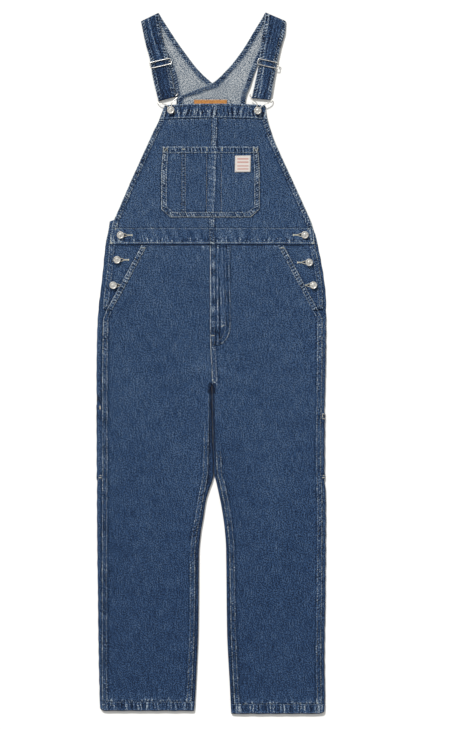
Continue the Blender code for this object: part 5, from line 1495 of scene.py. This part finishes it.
# The bar's height, how far down from the strap's end the button is, and how wide the eye clears
# the bib
BUCKLE_BAR, BUCKLE_REACH, BUCKLE_CLEAR = 3.9, 28.6, 8.0
LEAD = 10.0  # the strap's last stretch, which sets the buckle's direction
BIB_BUTTONS = {RIGHT: (-95.2, 592.0), LEFT: (108.1, 590.6)}
NICKELS = ((0.3, 150, 140, 124), (0.52, 255, 253, 247))

nickel, tree, shader = finish("worn_nickel", Metallic=1.0)
wear = put(tree, "ShaderNodeTexNoise", in_0=coordinate(tree, "Object"), in_2=350.0, in_3=4.0).outputs[0]
gloss = put(tree, "ShaderNodeMapRange", in_0=wear, in_3=0.5, in_4=0.26).outputs[0]
tree.links.new(dyed(tree, wear, NICKELS), shader.inputs["Base Color"])
tree.links.new(gloss, shader.inputs["Roughness"])


def softened(route):
    """The route with its corners cut twice, which leaves its ends and straight runs alone."""
    route = np.asarray(route, float)
    for _ in range(2):
        near = route[:-1] * 0.75 + route[1:] * 0.25
        far = route[:-1] * 0.25 + route[1:] * 0.75
        route = np.vstack([route[:1], np.stack([near, far], 1).reshape(-1, 3)[1:-1], route[-1:]])
    return route


def wire(name, route):
    """A round wire along the route, with capped ends, in place of its CAD node."""
    curve = bpy.data.curves.new(name, "CURVE")
    curve.dimensions = "3D"
    curve.bevel_depth, curve.bevel_resolution = WIRE / 2 * MM, 4
    curve.use_fill_caps = True
    spline = curve.splines.new("POLY")
    points = softened(route)
    spline.points.add(len(points) - 1)
    for point, place in zip(spline.points, points):
        point.co = (*(place * MM), 1.0)
    piece = bpy.data.objects.new(f"{name}_wire", curve)
    bpy.context.scene.collection.objects.link(piece)
    bpy.ops.object.select_all(action="DESELECT")
    piece.select_set(True)
    bpy.context.view_layer.objects.active = piece
    bpy.ops.object.convert(target="MESH")
    piece = bpy.context.object
    piece.data.materials.append(nickel)
    piece.data.shade_smooth()
    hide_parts(name)
    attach(piece, "root")


def placed(route, middle, degrees):
    """Points given as (across, down, height) about a middle, turned to lie along a strap."""
    along, up = cos(radians(degrees)), sin(radians(degrees))
    return [
        (middle[0] + across * along + below * up, middle[1] + across * up - below * along, height)
        for across, below, height in route
    ]


def seat_height(face, place, radius):
    """The highest that the face comes under a round foot of that radius."""
    turns = np.linspace(0, 2 * pi, 13)[:-1]
    x = place[0] + np.concatenate([[0], radius * np.cos(turns)])
    y = place[1] + np.concatenate([[0], radius * np.sin(turns)])
    return float(face(x, y).max())


def band_top(x, y):
    return front_height(x, y) + HEM_WALL


for side, word in SIDES:
    half, depth = SLIDER_HALF - SLIDER_BEND, SLIDER_DEPTH
    over, under = SLIDER_OVER, SLIDER_UNDER
    route = [
        (-SLIDER_HALF, 0.0, under + 1.6),
        (-half, 0.0, under),
        (half, 0.0, under),
        (half + 1.9, 0.0, under + 1.3),
        (half + 2.3, 1.0, over - 1.6),
        (half + 2.0, 3.4, over - 0.3),
        (half + 1.6, depth - 1.6, over),
        (half, depth, over),
        (-half, depth, over),
        (-SLIDER_HALF, depth - SLIDER_BEND, over),
        (-SLIDER_HALF, SLIDER_BEND - depth, over),
        (-half, -depth, over),
        (half, -depth, over),
        (half + 1.6, 1.6 - depth, over),
        (half + 2.0, -3.0, over),
    ]
    wire(f"slider_{word}", placed(route, SLIDER_MIDDLE[side], SLIDER_DEGREES[side]))

    start = strap_point(side, np.array(STRAP_LENGTH), 0.5)
    higher = strap_point(side, np.array(STRAP_LENGTH - LEAD), 0.5)
    button = BIB_BUTTONS[side]
    degrees = atan2(button[0] - start[0], start[1] - button[1]) * 180 / pi
    reach = float(np.hypot(button[0] - start[0], button[1] - start[1]))
    over = seat_height(band_top, button, BUCKLE_CLEAR) + CHORD + GAP + WIRE / 2
    points = []
    for across, below, share in BUCKLE_ROUTE:
        height = BUCKLE_BAR + (over - BUCKLE_BAR) * share
        past = max(below, 0.0)
        in_strap = strap_point(side, np.array(STRAP_LENGTH + below - past), 0.5 + across / STRAP_WIDE)
        by_strap = [in_strap[axis] + (start[axis] - higher[axis]) / LEAD * past for axis in (0, 1)]
        by_button = placed([(across * side, past * reach / BUCKLE_REACH, height)], start, degrees)[0]
        turn = ramp(below, 0.0, 12.0)
        points.append(tuple(s + (b - s) * turn for s, b in zip((*by_strap, height), by_button)))
    wire(f"buckle_{word}", points)


# Buttons
# Cast jeans buttons: a dished cap with a rolled rim and a ring of beads, on a riveted shank. The
# two on the bib are tall enough for the buckles' eyes.

# The cap's radius and thickness, and the radii of the foot and the shank
BUTTON_RADIUS, BUTTON_HEAD, BUTTON_FOOT, BUTTON_SHANK = 8.5, 2.6, 4.6, 2.6
BIB_SHANK_HEIGHT, SIDE_SHANK_HEIGHT = 3.4, 1.9
BEADS, BEAD_RING, BEAD_RADIUS = 24, 5.6, 0.42
CAP_INSETS = ((1.5, 0.0), (0.5, -0.8), (2.6, 0.0), (0.4, 0.35), (1.5, 0.1))  # how far in, how far up


def choose(test):
    """In edit mode, selects only the faces that pass the test."""
    shape = bmesh.from_edit_mesh(bpy.context.edit_object.data)
    for face in shape.faces:
        face.select_set(bool(test(face)))
    bmesh.update_edit_mesh(bpy.context.edit_object.data)


def jeans_button(shank):
    """A button's mesh, with its foot's underside at the origin."""
    cap = BUTTON_HEAD - 0.3
    bpy.ops.object.select_all(action="DESELECT")
    bpy.ops.mesh.primitive_cylinder_add(
        vertices=36, radius=BUTTON_RADIUS * MM, depth=cap * MM, location=(0, 0, (shank + 0.3 + cap / 2) * MM)
    )
    body = bpy.context.object
    bpy.ops.object.transform_apply(location=True)
    bpy.ops.object.mode_set(mode="EDIT")
    bpy.ops.mesh.select_mode(type="FACE")
    bpy.ops.mesh.select_all(action="DESELECT")
    choose(lambda face: face.normal.z > 0.9)
    for thickness, up in CAP_INSETS:
        bpy.ops.mesh.inset(thickness=thickness * MM, depth=0)
        bpy.ops.transform.translate(value=(0, 0, up * MM))
    choose(lambda face: face.normal.z < -0.9)
    bpy.ops.mesh.inset(thickness=0.7 * MM, depth=0)
    bpy.ops.transform.translate(value=(0, 0, -0.25 * MM))
    bpy.ops.mesh.inset(thickness=(BUTTON_RADIUS - 0.7 - BUTTON_SHANK) * MM, depth=0)
    bpy.ops.mesh.extrude_region_move(TRANSFORM_OT_translate={"value": (0, 0, -(shank - 0.7) * MM)})
    bpy.ops.mesh.extrude_region_move(TRANSFORM_OT_translate={"value": (0, 0, -0.2 * MM)})
    wide = BUTTON_FOOT / BUTTON_SHANK
    bpy.ops.transform.resize(value=(wide, wide, 1))
    bpy.ops.mesh.extrude_region_move(TRANSFORM_OT_translate={"value": (0, 0, -0.15 * MM)})
    bpy.ops.object.mode_set(mode="OBJECT")
    worn = body.modifiers.new("worn", "BEVEL")
    worn.width, worn.segments, worn.limit_method = 0.25 * MM, 2, "ANGLE"
    bpy.ops.object.modifier_apply(modifier=worn.name)
    beads = []
    for i in range(BEADS):
        angle = 2 * pi * i / BEADS
        place = BEAD_RING * cos(angle), BEAD_RING * sin(angle), shank + BUTTON_HEAD - 0.75
        bpy.ops.mesh.primitive_ico_sphere_add(
            subdivisions=1, radius=BEAD_RADIUS * MM, location=[value * MM for value in place]
        )
        beads.append(bpy.context.object)
    for bead in beads:
        bead.select_set(True)
    body.select_set(True)
    bpy.context.view_layer.objects.active = body
    bpy.ops.object.join()
    bpy.ops.object.shade_smooth_by_angle(angle=radians(35))
    body.data.materials.clear()
    body.data.materials.append(nickel)
    return body


patterns = {shank: jeans_button(shank) for shank in (BIB_SHANK_HEIGHT, SIDE_SHANK_HEIGHT)}


def fasten(node, place, seat, shank):
    """A copy of the button in its place."""
    piece = patterns[shank].copy()
    piece.data = patterns[shank].data.copy()
    piece.name = f"{node}_cast"
    piece.data.transform(Matrix.Translation([value * MM for value in (*place, seat + GAP)]))
    bpy.context.scene.collection.objects.link(piece)
    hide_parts(node)
    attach(piece, "root")


for side, word in SIDES:
    seat = seat_height(band_top, BIB_BUTTONS[side], BUTTON_FOOT) + CHORD
    fasten(f"bib_button_{word}", BIB_BUTTONS[side], seat, BIB_SHANK_HEIGHT)
    for name, place, wall in zip(
        ("waist_button", "side_button_upper", "side_button_lower"),
        SIDE_BUTTONS[side],
        (WAIST_WALL + CHORD, WALL + SEAM_RISE, WALL + SEAM_RISE),
    ):
        seat = seat_height(front_height, place, BUTTON_FOOT) + wall
        fasten(f"{name}_{word}", place, seat, SIDE_SHANK_HEIGHT)
for pattern in patterns.values():
    bpy.data.objects.remove(pattern)

# Keyhole buttonholes: corded lips that close on each other, and an upright bar at the inner end
HOLE_WORN, HOLE_PITCH, HOLE_HALF, HOLE_CORD = -0.4, 1.4, 1.2, 0.7
for side, word in SIDES:
    threads = []
    for button_x, button_y in SIDE_BUTTONS[side]:
        for hand in (-1, 1):
            wide, narrow = (button_y + hand * slack for slack in HOLE_SLACK)
            lip = ((HOLE_START, wide), (HOLE_START + 4, wide), (HOLE_MEET, narrow), (HOLE_END, narrow))
            lip = [(button_x - side * inward, y) for inward, y in lip]
            threads.append(stitched(lip, HOLE_WORN, HOLE_PITCH, HOLE_HALF))
        threads.append(tacked(button_x - side * HOLE_END, button_y, 90, 4.6, 2.2, HOLE_WORN))
    sew(f"buttonholes_{word}", threads, [waistbands[side], bearers[side]], HOLE_CORD)


# Side trim
# Denim strips that wrap the side folds below the hips: the edge of a tool pocket on one side and
# of a hammer loop on the other. They are sewn into the felled seam and barred at both ends.

TRIM_SPANS = {RIGHT: (-97.0, -272.0), LEFT: (-115.0, -270.0)}
TRIM_NAMES = {RIGHT: "tool_pocket_edge", LEFT: "hammer_loop"}
TRIM_ARC_END = 10  # how many of the fold's points the strip reaches
BAR_WORN = -0.35
TRIM_BARS = {  # how far beside the seam, up from the foot or down from the top, degrees, length
    RIGHT: ((0.6, -6, 90, 9.0), (-0.6, -6, 90, 9.0), (0.0, 5, 0, 7.0), (1.0, 10, 0, 5.0)),
    LEFT: (
        (0.0, -3, 0, 8.0), (0.0, -14, 0, 6.0), (-2.6, -8, 90, 7.0),
        (2.6, -8, 90, 7.0), (0.0, 3, 0, 7.0), (0.0, 8, 0, 5.0),
    ),
}

for side, word in SIDES:
    top, foot = TRIM_SPANS[side]
    y = down(top, foot, 2.5)
    edge, seam = side_fold(side, y), edge_x(side, y) + side * SEAM_GAP
    x, z = turned_edge(y, edge, seam, 1.0)
    middle = (z[:, :1] + z[:, -1:]) / 2
    x, z = x[:, :TRIM_ARC_END], z[:, :TRIM_ARC_END]
    z = z + 0.3 * ripple(y + 0.5 * x, 13, 21 + side)
    out_x, out_z = x - (edge - side * FOLD_RADIUS), z - middle
    length = np.maximum(np.hypot(out_x, out_z), 0.1)
    stand = GAP + TRIM_WALL + 0.12
    x, z = x + out_x / length * stand, z + out_z / length * stand
    from_end = np.minimum(top - y, y - foot)
    z = z - 0.4 * rolled(from_end, 1.6)
    wash = washed(x, y) + 0.16 * ripple(y, 8, 191) * trail(from_end, 20)
    wash += 0.16 * bell(from_end, 1, 1.5) - 0.14 * bell(from_end, 6, 4) + 0.05 * ripple(y, 14, 193)
    wash -= 0.16 * bell(y, top - 24, 14) - 0.14 * bell(abs(x - edge), 5.0, 1.2) * (from_end > 30)
    trim = cloth(f"{TRIM_NAMES[side]}_cloth", (x, y, z), wash, TRIM_WALL)
    bar_x = edge_x(side, top) + side * 5
    threads = [
        tacked(bar_x + beside, (foot if up > 0 else top) + up, degrees, run, 2.2, BAR_WORN)
        for beside, up, degrees, run in TRIM_BARS[side]
    ]
    lay(trim, [sew(f"{TRIM_NAMES[side]}_stitches", threads, [trim])])


# Floor, backdrop and light
# A plain white floor under soft studio light that comes mostly from the upper left. Past the
# floor's edge the backdrop is as white as the floor.

FLOOR_HALF, FLOOR_WHITE = 9.0, (0.93, 0.92, 0.89, 1.0)
bpy.ops.object.select_all(action="DESELECT")
bpy.ops.mesh.primitive_plane_add(size=2 * FLOOR_HALF, location=(0, 0, -0.0002))
floor = bpy.context.object
floor.name = "floor"
bpy.ops.object.transform_apply(location=True, rotation=False, scale=False)
white = finish("floor_white", Base_Color=FLOOR_WHITE, Roughness=1.0, Specular_IOR_Level=0.0)[0]
floor.data.materials.append(white)

SKY_STRENGTH = 0.5
world = bpy.data.worlds.new("studio")
world.use_nodes = True
studio_light = world.node_tree.nodes["Background"]
studio_light.inputs["Color"].default_value = (1.0, 1.0, 1.0, 1.0)
seen = put(world.node_tree, "ShaderNodeLightPath").outputs["Is Camera Ray"]
backdrop = plus(world.node_tree, times(world.node_tree, seen, 0.5), SKY_STRENGTH)
world.node_tree.links.new(backdrop, studio_light.inputs["Strength"])
bpy.context.scene.world = world

# One broad, even lamp, far away: which way it is, how wide it looks, and its strength
KEY_WAY, KEY_WIDE, KEY_STRENGTH = (-0.5, 0.95, 0.8), 9.0, 3.7
key = bpy.data.lights.new("key", "SUN")
key.energy, key.angle = KEY_STRENGTH, radians(KEY_WIDE)
holder = bpy.data.objects.new("key", key)
holder.location = KEY_WAY
holder.rotation_mode = "QUATERNION"
holder.rotation_quaternion = (-Vector(KEY_WAY)).to_track_quat("-Z", "Y")
bpy.context.scene.collection.objects.link(holder)
bpy.context.scene.view_settings.view_transform = "Standard"
